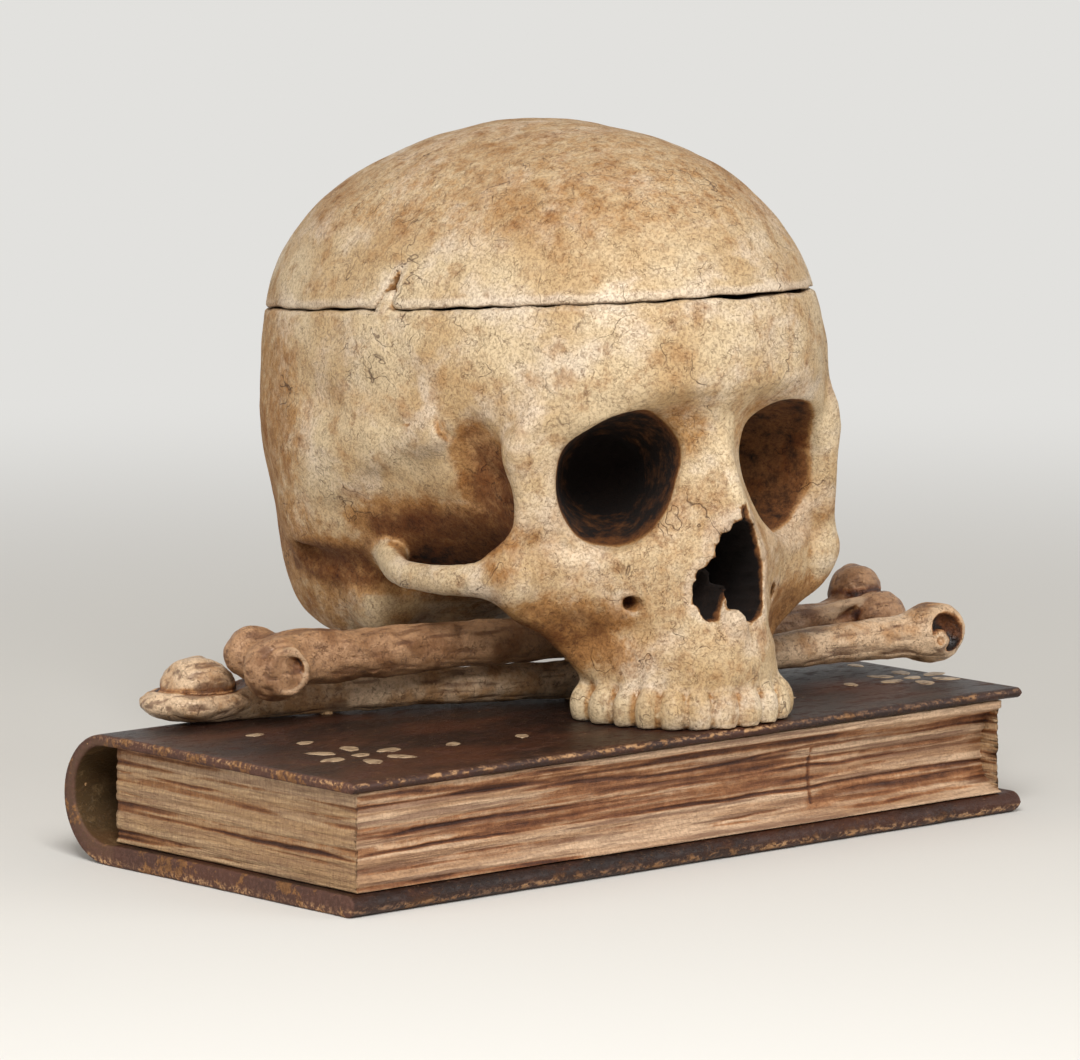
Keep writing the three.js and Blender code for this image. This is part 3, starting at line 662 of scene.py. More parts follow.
def cheek_arch(p):
    """The bar from the cheek to the ear, flattened sideways by stretching space in x."""
    rows = [(x * ARCH_FLATNESS, y, z, r) for x, y, z, r in ARCH]
    return rod((p[0] * ARCH_FLATNESS, p[1], p[2]), rows) / ARCH_SLOPE


# %% Teeth
TOOTH_ROW = ((0, -101), (12, -98.5), (21, -90.5), (26, -78), (27, -65))
TOOTH_WIDTHS = (7.9, 6.8, 7.2, 6.9, 6.7, 8.6, 8.2)
TOOTH_DEPTHS = (4.2, 4.2, 4.8, 5.0, 5.0, 5.6, 5.6)
TOOTH_MIDDLE = 40.6
TOOTH_HALF_HEIGHT = 6.9
CROWN_WIDTH_SHARE = 1.15
ROOT = ((0.6, 3, 0.36), (1.7, 10, 0.27), (3.6, 18, 0.1))
TOOTH_GAP = ((1.0, 34, 0.9), (1.02, 42, 0.7), (1.15, 48.5, 0.1))


def tooth_places():
    """For each tooth: its middle, its direction along the row, its width and depth. For
    each gap beside a tooth: its middle, its direction and the tooth's depth."""
    line = smooth_rows(TOOTH_ROW, 50)
    length = np.r_[0, np.cumsum(np.linalg.norm(np.diff(line, axis=0), axis=1))]
    edges = np.cumsum((0, *TOOTH_WIDTHS))
    heading = np.gradient(line, axis=0)
    heading /= np.linalg.norm(heading, axis=1, keepdims=True)

    def at(place):
        spot = np.argmin(np.abs(length - place))
        return line[spot], heading[spot]

    teeth = [
        (*at((a + b) / 2), b - a, depth)
        for a, b, depth in zip(edges[:-1], edges[1:], TOOTH_DEPTHS)
    ]
    gaps = [(*at(edge), depth) for edge, depth in zip(edges, TOOTH_DEPTHS)]
    return teeth, gaps


TEETH, TOOTH_GAPS = tooth_places()


def along_row(p, middle, heading, height):
    """Points seen from a tooth: along the row, towards the tongue and up."""
    x, y = p[0] - middle[0], p[1] - middle[1]
    return x * heading[0] + y * heading[1], y * heading[0] - x * heading[1], p[2] - height


def teeth(p):
    """The crowns and their roots, cut level where they stand on the book. A row of a root
    is its way inwards, its height and its radius as a share of the crown's width."""
    forms = []
    for middle, heading, width, depth in TEETH:
        q = along_row(p, middle, heading, TOOTH_MIDDLE)
        radii = (width / 2 * CROWN_WIDTH_SHARE, depth, TOOTH_HALF_HEIGHT)
        root = rod(q, [(0, inwards, up, width * share) for inwards, up, share in ROOT], 1)
        forms.append((soft_join(lobe(q, (0, 0, 0), radii), root, 2), 0.8))
    return blended(None, forms)


def tooth_gaps(p):
    """The furrows between the teeth, which fade out above the gum. A row is a share of the
    tooth's depth, a height and a radius."""
    whole = None
    for middle, heading, depth in TOOTH_GAPS:
        q = along_row(p, middle, heading, 0)
        furrow = rod(q, [(0, -depth * share, up, radius) for share, up, radius in TOOTH_GAP], 1)
        whole = furrow if whole is None else np.minimum(whole, furrow)
    return whole


# %% Hollows of the face
ORBIT_MIDDLE = (29, -84, 104.5)
ORBIT_TURN = -16
ORBIT_RIGHT = (17.8, 19.0, 17.7, 19.3, 22.6, 23.4, 18.6, 17.2, 17.8, 20.2, 20.8, 18.2)
ORBIT_LEFT = (22.6, 22.6, 19.6, 20.0, 22.4, 22.8, 17.5, 16.4, 16.8, 19.6, 23.2, 24.4)
ORBIT_BACK = 19.0
ORBIT_DEPTH = 36
ORBIT_START = -4
ORBIT_TAPER = 46
ORBIT_SHRINK = 0.62
ORBIT_DRIFT = (7, 1.5)
ORBIT_TAPER_POWER = 1.3
ORBIT_ROUNDING = 1.5
ORBIT_BLEND = 8


def round_table(values, degrees):
    """Values that stand at even angles round a circle, blended by a cubic between them."""
    values = np.asarray(values)
    place = (degrees % 360) / 360 * len(values)
    start = place.astype(int)
    total = 0
    for k, share in enumerate(eased(place - start)):
        total = total + share * values[(start + k - 1) % len(values)]
    return total


def eye_socket(p):
    """A cone behind an uneven outline, which has its own radii on each side of the face.
    The outline shrinks, drifts inwards and grows round with depth."""
    x, y, z = turned((np.abs(p[0]), p[1], p[2]), ORBIT_MIDDLE, ORBIT_TURN)
    depth = np.clip((y - ORBIT_START) / ORBIT_TAPER, 0, 1)
    shrink = 1 - ORBIT_SHRINK * depth ** ORBIT_TAPER_POWER
    x = x + ORBIT_DRIFT[0] * depth
    z = z + ORBIT_DRIFT[1] * depth
    angle = np.degrees(np.arctan2(z, x))
    rim = np.where(p[0] > 0, round_table(ORBIT_LEFT, angle), round_table(ORBIT_RIGHT, angle))
    rim = rim + (ORBIT_BACK - rim) * np.clip(ORBIT_ROUNDING * depth, 0, 1)
    return soft_cut(np.hypot(x, z) - rim * shrink, y - ORBIT_DEPTH, ORBIT_BLEND)


RAGGED_SHARES = (0.65, 0.35)


def ragged(p):
    """Unevenness from -1 to 1: two products of waves that run in crossing directions."""
    x, y, z = p
    coarse = np.sin(1.1 * x + 0.7 * z + 1) * np.sin(0.9 * z - 0.6 * x + 0.3 * y)
    fine = np.sin(2.3 * x + 1.1 * z) * np.sin(2.1 * z - 1.3 * x + 0.5 * y + 2)
    return RAGGED_SHARES[0] * coarse + RAGGED_SHARES[1] * fine


NOSE_FAR = ((5.6, -100, 76), (6.6, 27, 11))
NOSE_NEAR = ((-6.6, -103, 74.5), (5.0, 14, 8.6))
NOSE_HIGH = ((1.6, -100, 85), (7.6, 26, 9.4))
NOSE_BROKEN = ((2.2, -106, 96), (3.4, 4.2, 4.6))
RIM_RAGGED = 0.7
BROKEN_RAGGED = 1.1


def nose_hollow(p):
    """The pear of the nose: two low lobes and a high one. The side away from the camera
    is deep, and the near side is a shallow pocket, with the thin septum between them. The
    bone over the opening is worn away in a shallow, broken patch."""
    far = soft_join(lobe(p, *NOSE_FAR), lobe(p, *NOSE_HIGH), 4)
    whole = soft_join(far, lobe(p, *NOSE_NEAR), 1.5) + RIM_RAGGED * ragged(p)
    return soft_join(whole, lobe(p, *NOSE_BROKEN) + BROKEN_RAGGED * ragged(p), 1.5)


CHEEK_HOLE = ((23.4, -95, 69.3, 2.3), (23.4, -80, 71.3, 2.3))
SPINE_OF_NOSE = ((0.5, -101.2, 67, 2.6), (0.5, -102.4, 64.4, 2.4), (0.3, -101, 59, 1.6))

# %% Relief on the side of the head
BROW_RIDGE = (
    (52.4, -73.2, 113.8, 1.6), (49.6, -75.2, 119.9, 1.9), (46.4, -76.4, 126.7, 2.0),
    (44.8, -77, 132.2, 1.4), (45.6, -75.2, 139, 0.2), (48, -69.6, 146, -1.5),
)
SIDE_SWELLS = (
    ((63.9, -13, 112.5), (3.8, 15, 8), 5),
    ((61.6, -34, 117.5), (3.4, 12, 6.5), 5),
    ((64.8, 9, 106), (4, 18, 12), 5),
    ((49, -69.6, 112.6), (3.8, 3.4, 5.2), 5),
)
SIDE_HOLLOWS = (
    ((75.8, -20, 127), (7, 16, 8)),
    ((72.8, -36, 131), (7, 10, 7)),
    ((76, 7, 121.5), (7, 16, 8)),
)
SIDE_CREASES = (
    ((67.2, -28.5, 141, 0.4), (67.4, -29, 138.2, 1.3), (67.4, -31.4, 133.5, 1.4),
     (67.2, -35, 130, 0.9), (66.2, -38, 127.5, 0)),
    ((63.6, -45.2, 124.6, 0.3), (61.2, -45.9, 117.6, 1.1), (58.2, -47.4, 114.9, 0.7)),
    ((56, -49.9, 115.3, 0.8), (52.9, -50.6, 109.9, 1.5), (50.2, -52.7, 105.5, 2),
     (48.8, -56.3, 103.8, 1.8)),
    ((69.2, 23.6, 114.8, -0.6), (70.3, 11.5, 112.9, 0.4), (70.3, 3, 116.9, 0.2),
     (70.4, -4.5, 120.6, 0.5), (69.9, -8.6, 120.4, 0.7), (69, -13.2, 117.2, 0.7),
     (68.4, -18.3, 118.6, 0.3), (67.5, -24, 119.6, 0.5), (66.4, -29.2, 118, 0.6),
     (65.2, -33.8, 117.8, 0.3), (64.2, -38, 119, 0), (64, -44.2, 123.1, -0.4)),
    ((69.2, -18.9, 135.4, -0.5), (70.4, -11.6, 129.8, 0.4), (71.1, -7.8, 125, 0.4),
     (70.2, -4.5, 120.6, 0.3)),
)
EAR_TROUGH = (
    (60.4, 31, 81, 0.3), (60.8, 24, 75.4, 2.6), (62.8, 10, 72.6, 4.2), (61.8, 2, 71, 5.2),
    (59.2, -3, 69.2, 5.4), (55.5, -8, 66.5, 4.2),
)
TEMPLE_HOLLOW = ((60, -57, 97), (12, 11, 23))

# The outer rim of the left eye, which stands further out than that of the right eye.
FAR_RIM = ((47.5, -72, 114, 4), (49, -71, 105, 5), (50, -68.5, 95, 5.5), (50, -66, 86, 5))


def skull_blank(side):
    """The skull as one solid form, before any hollow or line is cut."""
    whole = soft_join(braincase(side), underside(side), 10)
    whole = soft_cut(whole, -lobe(side, *TEMPLE_HOLLOW), 8)
    whole = soft_join(whole, rod(side, BROW_RIDGE, 3), 5)
    whole = soft_join(whole, face(side), 7)
    whole = soft_cut(whole, before_face(side), 2.5)
    whole = lobes(side, SIDE_SWELLS, whole)
    return blended(whole, ((cheek_arch(side), 4), (rod(side, SPINE_OF_NOSE, 2), 3), (teeth(side), 2.6)))


def skull_outside(p):
    """The blank with every hollow of the face cut."""
    side = (np.abs(p[0]), p[1], p[2])
    whole = soft_join(skull_blank(side), rod(p, FAR_RIM, 3), 4)
    whole = soft_cut(whole, -rod(side, EAR_TROUGH, 3), 3.5)
    for place, radii in SIDE_HOLLOWS:
        whole = soft_cut(whole, -lobe(side, place, radii), 6)
    for crease in SIDE_CREASES:
        whole = soft_cut(whole, -rod(side, crease, 2), 1.6)
    whole = soft_cut(whole, -tooth_gaps(side), 1.2)
    whole = soft_cut(whole, -eye_socket(p), 1.4)
    whole = soft_cut(whole, -nose_hollow(p), 1.2)
    whole = np.maximum(whole, -rod(side, CHEEK_HOLE, 1))
    return np.maximum(whole, GUM_PLANE - p[2])


# %% [markdown]
# ## The lift-off crown
#
# The crown was sawn off with one level cut, a little higher in front, and a notch in its
# right edge drops over a tab on the lower part, so that it only fits one way round. The
# grid is sheared by the slope of the cut, so one layer of it lies in the saw cut and the
# rim comes out clean. The head is hollow under the crown: both parts are shells.

# %% Saw cut
CUT_HEIGHT = 147.6
CUT_SLOPE = math.tan(math.radians(4.8))
CUT_GAP = 0.5
NOTCH_MIDDLE = (-66.0, -21.0)
NOTCH_WIDTH = 6.6
NOTCH_TOP = 1.4
NOTCH_HEIGHT = 9.4
NOTCH_LEAN = 0.85
NOTCH_REACH = 16.0
TAB_HEIGHT = 5.0
TAB_ROOT = 3.0
TAB_PLAY = 0.3
SAW_WAVES = ((0.22, 0.21, 0.13), (0.16, 0.47, -0.39))


def bowl(p):
    """The hollow of the head, a wall's thickness inside the braincase, with a flat floor
    and with room left for the eye sockets."""
    side = (np.abs(p[0]), p[1], p[2])
    inner = soft_cut(braincase(side) + WALL, BOWL_FLOOR - p[2], 30)
    inner = soft_cut(inner, before_face(side) + WALL, 4)
    return soft_cut(inner, WALL / 2 - eye_socket(p), 3)


def above_cut(p):
    """Height above the saw cut, with the small waves that a hand saw leaves."""
    wave = sum(size * np.sin(p[0] * across + p[1] * back) for size, across, back in SAW_WAVES)
    return p[2] + CUT_SLOPE * p[1] - CUT_HEIGHT + wave


def notch(p, height, growth):
    """Distance to the notch: upright in front and sloping behind to a narrow top."""
    above = above_cut(p)
    along = p[1] - NOTCH_MIDDLE[1]
    share = np.clip(above / NOTCH_HEIGHT, 0, 1)
    front = -NOTCH_WIDTH / 2
    back = NOTCH_WIDTH / 2 - (NOTCH_WIDTH - NOTCH_TOP) * share
    sides = np.maximum(front - along, (along - back) * NOTCH_LEAN)
    reach = np.abs(p[0] - NOTCH_MIDDLE[0]) - NOTCH_REACH
    return np.maximum(np.maximum(sides, reach), above - height) - growth


def shell(p):
    """The skull with its hollow cut out."""
    return np.maximum(skull_outside(p), -bowl(p))


def crown_field(p):
    """The part above the cut, less the notch."""
    whole = soft_cut(shell(p), -above_cut(p), 1.0)
    return soft_cut(whole, -notch(p, NOTCH_HEIGHT, 0), 0.8)


def cranium_field(p):
    """The part below the cut, and the tab that stands up into the notch."""
    walls = shell(p)
    whole = soft_cut(walls, above_cut(p) + CUT_GAP, 1.0)
    tab = np.maximum(notch(p, TAB_HEIGHT, -TAB_PLAY), -TAB_ROOT - above_cut(p))
    return soft_join(whole, soft_cut(walls, tab, 0.8), 0.5)


# %% Where stain and painted shade lie
# Rows are centre, radii, fade and strength. They hold brown stain and painted shade together: the dark
# band just above the cheek arch, the underside over the bones, the lower half of the face and the back
# of the head are painted shade, and the hollows of the temple, the ear and the nose hold stain with
# painted shade in it.
STAIN_AND_SHADE_PLACES = (
    ((50, -33, 84), (16, 25, 5), 13, 0.7),
    ((48, -26, 78.5), (9, 18, 2), 6, 0.85),
    ((46, -55, 100), (10, 7, 14), 10, 0.62),
    ((52, -52, 110), (6, 5, 8), 7, 0.45),
    ((60, 10, 73.5), (14, 24, 4), 8, 0.62),
    ((52, 26, 60), (22, 20, 5), 12, 0.14),
    ((44, 52, 74), (28, 34, 20), 34, 0.34),
    ((28, -74, 68), (8, 12, 5), 10, 0.18),
    ((14, -92, 92), (8, 14, 12), 8, 0.16),
    ((22, -86, 76), (8, 14, 5), 9, 0.18),
    ((10, -92, 62), (18, 18, 2), 7, 0.14),
    ((13, -92, 118), (5, 8, 5), 8, 0.3),
    ((69, -8, 122), (4, 30, 2), 7, 0.14),
    ((34, -44, 62), (34, 30, 6), 14, 0.5),
    ((20, -88, 84), (34, 20, 14), 14, 0.15),
    ((20, -10, 192), (70, 90, 20), 18, 0.2),
    ((64, 52, 112), (20, 28, 24), 24, 0.3),
)
CLEAN_ARCH = 2.0
# Rows are centre, radii, gain and most: the nose, the left eye, the right eye and the teeth. The gain
# darkens these hollows fast with depth, which paints the shade inside them near black over the stain.
STAIN_AND_SHADE_ROOMS = (
    ((0, -86, 80), (16, 34, 22), 7.0, 40),
    ((29, -80, 104), (27, 30, 26), 2.6, 9),
    ((-29, -80, 104), (27, 30, 26), 2.4, 13),
    ((0, -84, 41), (36, 30, 9), 12.0, 15),
)
SUNK_MOST = 40.0


def stain_and_shade_mask(points):
    """Where the brown stain wasn't wiped off, and where shade is painted: the row's strength
    inside each ellipsoid of the table, fading out over the given distance round it. The
    cheek arch stays clean."""
    side = np.abs(points[:, 0]), points[:, 1], points[:, 2]
    total = np.zeros(len(points))
    for centre, radii, fade, strength in STAIN_AND_SHADE_PLACES:
        share = np.clip(1 - lobe(side, centre, radii) / fade, 0, 1)
        total = np.maximum(total, strength * share * share * (3 - 2 * share))
    return total * np.clip(cheek_arch(side) / CLEAN_ARCH, 0, 1)


def sunk_mask(points):
    """Millimetres below the uncut form. In the nose, the eyes and the gaps between the
    teeth they count several times over, up to a most, so that the paint there turns dark
    from the rim on: stain, and painted shade for the deep shade inside these hollows."""
    side = np.abs(points[:, 0]), points[:, 1], points[:, 2]
    sunk = -skull_blank(side)
    for centre, radii, gain, most in STAIN_AND_SHADE_ROOMS:
        sunk = np.where(lobe(points.T, centre, radii) < 0, np.minimum(gain * sunk, most), sunk)
    return np.clip(sunk, 0, SUNK_MOST)


# %% Skull meshes
WIDENING = 1.0
SKULL_ACROSS = (-74.0, 74.0)
SKULL_DEPTH = (-112.0, 100.0)
ACROSS_STEPS = ((-60, 1.6), (-40, 1.25), (40, 1.25), (60, 1.6))
DEPTH_STEPS = ((-70, 1.05), (-45, 1.8))
HEIGHT_STEPS = ((62, 0.9), (70, 1.25), (128, 1.25), (145, 1.7))
CARVING_WAVES = ((14.0, 0.35, 1), (6.0, 0.16, 2), (2.6, 0.06, 3))
CRANIUM_HEIGHTS = (33.0, 160.0)
CROWN_HEIGHTS = (138.0, 206.0)
BOWL_SKIN = 1.5
SAWN_SKIN = 1.2
SAWN_EDGE = 1.4


def coarser(spacings):
    return [(place, step * WIDENING) for place, step in spacings]


def sheared(field):
    """The field asked in a grid whose layers slope with the saw cut."""
    return lambda p: field((p[0], p[1], p[2] - CUT_SLOPE * p[1]))


def carved(points, normals, waves):
    """Moves points along their normals by a sum of noise: rows of size, depth and seed."""
    push = sum(depth * noise(points, size, seed) for size, depth, seed in waves)
    return points + normals * push[:, None]


def skull_to_book(points):
    """Table millimetres in the skull's frame to metres in the book's frame."""
    c, s = math.cos(SKULL_TURN), math.sin(SKULL_TURN)
    turn = np.array(((c, s, 0), (-s, c, 0), (0, 0, 1)))
    place = np.array((
        SKULL_PLACE_SHARES[0] * (board_high.x - board_low.x),
        SKULL_PLACE_SHARES[1] * (spine_high.y - board_low.y),
        0,
    ))
    return points @ turn * mm + place


def skull_piece(name, field, heights):
    """One part of the skull as a mesh, with the masks that its paint follows."""
    leaning = [height + CUT_SLOPE * back for height, back in zip(heights, SKULL_DEPTH)]
    lines = [
        grid_line(*ends, coarser(steps)) for ends, steps in (
            (SKULL_ACROSS, ACROSS_STEPS), (SKULL_DEPTH, DEPTH_STEPS), (leaning, HEIGHT_STEPS),
        )
    ]
    points, quads = surface_net(sampled(sheared(field), lines), lines)
    points[:, 2] -= CUT_SLOPE * points[:, 1]
    points = settled(field, points)
    normals = slopes(field, points)
    masks = {
        "recess": recess_mask(field, points, normals),
        "edge": edge_mask(field, points, normals),
        "inside": np.clip(BOWL_SKIN - np.abs(bowl(points.T)), 0, 1),
        "sunk": sunk_mask(points),
        "stain_and_shade": stain_and_shade_mask(points),
        # A band along the saw cut, where the shade of the gap is painted.
        "saw_cut_shade": np.clip(SAWN_EDGE - np.abs(above_cut(points.T)) / SAWN_SKIN, 0, 1),
    }
    points = carved(points, normals, CARVING_WAVES)
    points[:, 2] = np.maximum(points[:, 2], GUM_PLANE)
    return mesh_object(name, skull_to_book(points), quads, masks)


cranium = skull_piece("carved_cranium", cranium_field, CRANIUM_HEIGHTS)
crown = skull_piece("carved_crown", crown_field, CROWN_HEIGHTS)

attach(cranium, "base")
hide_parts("cranium")
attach(crown, "crown")
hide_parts("skull_cap")

# %% [markdown]
# ## The bones
#
# Two long bones cross under the skull. Each is a bent shaft that swells at its ends: the
# thin one has a dish with a knob in it at the left and a cup at the right, and the thick
# one has two rounded condyles at the left and a ball beside a ridge at the right. They are
# distance fields too. Each end has its own small frame: along the bone, across it towards
# the reader, and up.

# %% Bone paths
book_length = (board_high.x - board_low.x) / mm
book_width = (spine_high.y - board_low.y) / mm
cover_top = board_high.z / mm
BONE = 12.5
LOWER_PATH = (
    (-0.364, 0.368, 0.47), (-0.16, 0.22, 0.46), (0.044, 0.072, 0.46),
    (0.2, -0.04, 0.62), (0.348, -0.148, 0.88), (0.484, -0.244, 1.02),
)
UPPER_PATH = (
    (-0.332, 0.208, 1.43), (-0.17, 0.136, 1.47), (-0.012, 0.064, 1.49), (0.07, 0.058, 1.45),
    (0.19, 0.052, 1.24), (0.388, 0.04, 0.95), (0.49, 0.048, 1),
)
LOWER_THICKNESS = (
    (0, 0.4), (0.05, 0.46), (0.12, 0.43), (0.3, 0.42), (0.7, 0.41), (0.86, 0.45), (1, 0.5),
)
UPPER_THICKNESS = (
    (0, 0.5), (0.05, 0.6), (0.12, 0.57), (0.3, 0.52), (0.7, 0.5), (0.88, 0.54), (1, 0.5),
)
PATH_STEPS = 12


class Bone:
    """A bone's centreline in table millimetres, its thickness and the frames of its ends."""

    def __init__(self, path, thickness):
        rows = [(x * book_length, y * book_width, cover_top + z * BONE, 0) for x, y, z in path]
        line = smooth_rows(rows, PATH_STEPS)
        length = np.r_[0, np.cumsum(np.linalg.norm(np.diff(line[:, :3], axis=0), axis=1))]
        places, radii = np.array(thickness).T
        line[:, 3] = np.interp(length / length[-1], places, radii) * BONE
        self.line = line
        self.ends = [self.frame(line[0, :3], line[1, :3] - line[0, :3])]
        self.ends.append(self.frame(line[-1, :3], line[-1, :3] - line[-2, :3]))
        self.chord = self.frame((line[0, :3] + line[-1, :3]) / 2, line[-1, :3] - line[0, :3])

    @staticmethod
    def frame(centre, forward):
        """A place with three directions: along the bone, across it and up."""
        along = forward / np.linalg.norm(forward)
        across = np.cross(along, (0, 0, 1))
        across /= np.linalg.norm(across)
        return centre, np.stack([along, across, np.cross(across, along)])

    @staticmethod
    def seen_from(frame, p):
        """Points measured in bone diameters from a frame, along, across and up."""
        centre, axes = frame
        x, y, z = (part - middle for part, middle in zip(p, centre))
        return [(x * a + y * b + z * c) / BONE for a, b, c in axes]

    def shaft(self, p):
        """Distance to the bare shaft."""
        return rod(p, self.line, 1)


lower_bone = Bone(LOWER_PATH, LOWER_THICKNESS)
upper_bone = Bone(UPPER_PATH, UPPER_THICKNESS)


def ring(q, centre, radius, thick):
    """Distance to a ring that faces across the bone."""
    along, across, up = (part - middle for part, middle in zip(q, centre))
    return np.hypot(np.hypot(along, up) - radius, across) - thick


# %% The thin bone
DISH = ((0, 0, -0.02), (1.3, 1.0, 0.44))
DISH_NECK = ((0.6, 0, -0.06, 0.36), (2.3, 0, -0.02, 0.34))
MOAT = ((0.05, 0, 0.44), (1.12, 0.88, 0.36))
KNOB = ((0.03, 0, 0.4), (0.9, 0.72, 0.56))
KNOB_FACETS = ((0.75, -0.3, 0.66, 0.86), (-0.8, 0.35, 0.45, 0.78))
CUP = ((0, 0, 0), (0.7, 0.66, 0.68))
CUP_HOLLOW = ((0.12, 0.52, 0.08), (0.42, 0.42, 0.44))
BOSS = ((-0.12, 0.4, -0.12), (0.28, 0.26, 0.28))
BOSS_HOLE = ((-0.12, 0.68, -0.1), (0.11, 0.12, 0.11))


def lower_bone_field(p):
    """The thin bone: a dish with a knob at its left end, a cup at its right end. The forms
    are in bone diameters, and a facet is a direction and how far out it cuts the knob."""
    q = Bone.seen_from(lower_bone.ends[0], p)
    dish = soft_join(lobe(q, *DISH), rod(q, DISH_NECK, 1), 0.3)
    knob = lobe(q, *KNOB)
    for along, across, up, out in KNOB_FACETS:
        knob = soft_cut(knob, along * q[0] + across * q[1] + up * q[2] - out, 0.1)
    whole = soft_join(lower_bone.shaft(p), dish * BONE, 3)
    whole = soft_cut(whole, -lobe(q, *MOAT) * BONE, 1.2)
    whole = soft_join(whole, knob * BONE, 1)
    q = Bone.seen_from(lower_bone.ends[1], p)
    whole = soft_join(whole, lobe(q, *CUP) * BONE, 4)
    whole = soft_cut(whole, -lobe(q, *CUP_HOLLOW) * BONE, 1.2)
    boss = soft_cut(lobe(q, *BOSS), -lobe(q, *BOSS_HOLE), 0.06)
    return soft_join(whole, boss * BONE, 1)


# %% The thick bone
FRONT_CONDYLE = ((0.1, 0.45, -0.1), (0.8, 0.5, 0.72))
BACK_CONDYLE = ((-0.05, -0.42, 0.2), (0.66, 0.5, 0.6))
CONDYLE_BUMP = ((0.85, 0.05, 0.32), (0.95, 0.4, 0.36))
CONDYLE_HOLLOW = ((0.5, 0.98, 0.12), (0.34, 0.2, 0.3))
CONDYLE_NOTCH = ((0.75, 1.0, -0.2, 0.12), (1.15, 0.75, -0.5, 0.16))
CONDYLE_LIP = ((0.16, 0.86, -0.12), 0.46, 0.07)
KNUCKLE = ((1.9, 0.42, 0.3, 0.1), (2.2, 0.5, 0.0, 0.13), (2.5, 0.42, -0.35, 0.06))
BALL = ((0.3, -0.15, 0.58), (0.64, 0.62, 0.64))
BALL_NECK = ((-0.4, 0, 0.1, 0.42), (0.2, -0.1, 0.45, 0.36))
RIDGE = ((0.25, 0.65, 0.15), (0.75, 0.5, 0.5))
RIDGE_CREST = ((-1.9, 0.34, 0.3, 0.1), (-0.6, 0.55, 0.5, 0.14), (0.5, 0.7, 0.55, 0.12))


def upper_bone_field(p):
    """The thick bone: two condyles at its left end, a ball and a ridge at its right end."""
    q = Bone.seen_from(upper_bone.ends[0], p)
    condyles = soft_join(lobe(q, *FRONT_CONDYLE), lobe(q, *BACK_CONDYLE), 0.12)
    condyles = soft_join(condyles, lobe(q, *CONDYLE_BUMP), 0.16)
    whole = soft_join(upper_bone.shaft(p), condyles * BONE, 3)
    worn = np.minimum(lobe(q, *CONDYLE_HOLLOW), rod(q, CONDYLE_NOTCH, 1))
    whole = soft_cut(whole, -worn * BONE, 1.6)
    whole = soft_join(whole, ring(q, *CONDYLE_LIP) * BONE, 1.6)
    whole = soft_join(whole, rod(q, KNUCKLE, 2) * BONE, 2.5)
    q = Bone.seen_from(upper_bone.ends[1], p)
    ridge = soft_join(lobe(q, *RIDGE), rod(q, RIDGE_CREST, 2), 0.12)
    whole = soft_join(whole, rod(q, BALL_NECK, 1) * BONE, 3)
    whole = soft_join(whole, ridge * BONE, 3)
    return soft_join(whole, lobe(q, *BALL) * BONE, 0.8)


# %% Bone meshes
BONE_STEP = 0.62
FURROW_LENGTH = 9.0
FURROW_WIDTH = 1.5
BONE_WAVES = ((9.0, 0.45, 11), (3.4, 0.28, 12))
FURROW_DEPTH = 0.22
FURROW_MASK = (0.5, -0.7)
BONE_START = -2.0
BONE_MARGIN = 1.7 * BONE
BONE_FOOT = 0.1


def bone_piece(name, bone, field):
    """One bone as a mesh, with lumps, and furrows that run along it."""
    low = bone.line[:, :3].min(axis=0) - BONE_MARGIN
    high = bone.line[:, :3].max(axis=0) + BONE_MARGIN
    low[2] = max(low[2], cover_top + BONE_START)
    lines = [grid_line(a, b, coarser([(a, BONE_STEP)])) for a, b in zip(low, high)]
    points, quads = surface_net(sampled(field, lines), lines)
    points = settled(field, points)
    normals = slopes(field, points)
    seen = np.stack(Bone.seen_from(bone.chord, points.T), 1) * BONE
    seen *= (FURROW_WIDTH / FURROW_LENGTH, 1, 1)
    furrows = noise(seen, FURROW_WIDTH, 13) + 0.5 * noise(seen, FURROW_WIDTH / 2, 14)
    masks = {
        "recess": recess_mask(field, points, normals),
        "edge": edge_mask(field, points, normals),
        "furrow": np.clip(FURROW_MASK[0] + FURROW_MASK[1] * furrows, 0, 1),
    }
    points = carved(points, normals, BONE_WAVES) + normals * (FURROW_DEPTH * furrows)[:, None]
    points[:, 2] = np.maximum(points[:, 2], cover_top + BONE_FOOT)
    return mesh_object(name, points * mm, quads, masks)


thin_bone = bone_piece("thin_bone", lower_bone, lower_bone_field)
thick_bone = bone_piece("thick_bone", upper_bone, upper_bone_field)
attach(thin_bone, "base")
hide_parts("lower_bone")
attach(thick_bone, "base")
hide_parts("upper_bone")

# %% [markdown]
# ## The book
#
# The cover is one long strip that bends round the back of the book: board, spine, board.
# Its section is an outer line and an inner line a board's thickness apart, which meet in
# a point at both ends, so the section is a closed loop. The loop is carried along the
# book, and at each end the two lines close on the line between them. That gives the end
# faces, with no cap to fit and no open seam. The pages are made by the same function,
# with the loop lying flat and carried upwards.

# %% Closed band
def closed_band(outer, inner):
    """Points and faces of a solid from two stacks of lines, shaped (rings, steps, 3), that
    share their first and last points. The first and last rings close on their middle."""
    rings, steps, _ = outer.shape
    loop = np.concatenate([outer, inner[:, -2:0:-1]], axis=1)
    around = loop.shape[1]
    first, last = ((outer[k] + inner[k]) / 2 for k in (0, -1))
    points = np.concatenate([first, loop[1:-1].reshape(-1, 3), last])
    tube = grid_faces(rings - 2, around, close_columns=True) + steps
    spot = np.arange(around)
    ahead = (spot + 1) % around
    on_middle = np.where(spot < steps, spot, around - spot)
    start = np.stack([on_middle, steps + spot, steps + ahead, on_middle[ahead]], 1)
    rim = steps + (rings - 3) * around
    top = rim + around
    end = np.stack([rim + spot, top + on_middle, top + on_middle[ahead], rim + ahead], 1)
    return points, np.concatenate([start, tube, end])


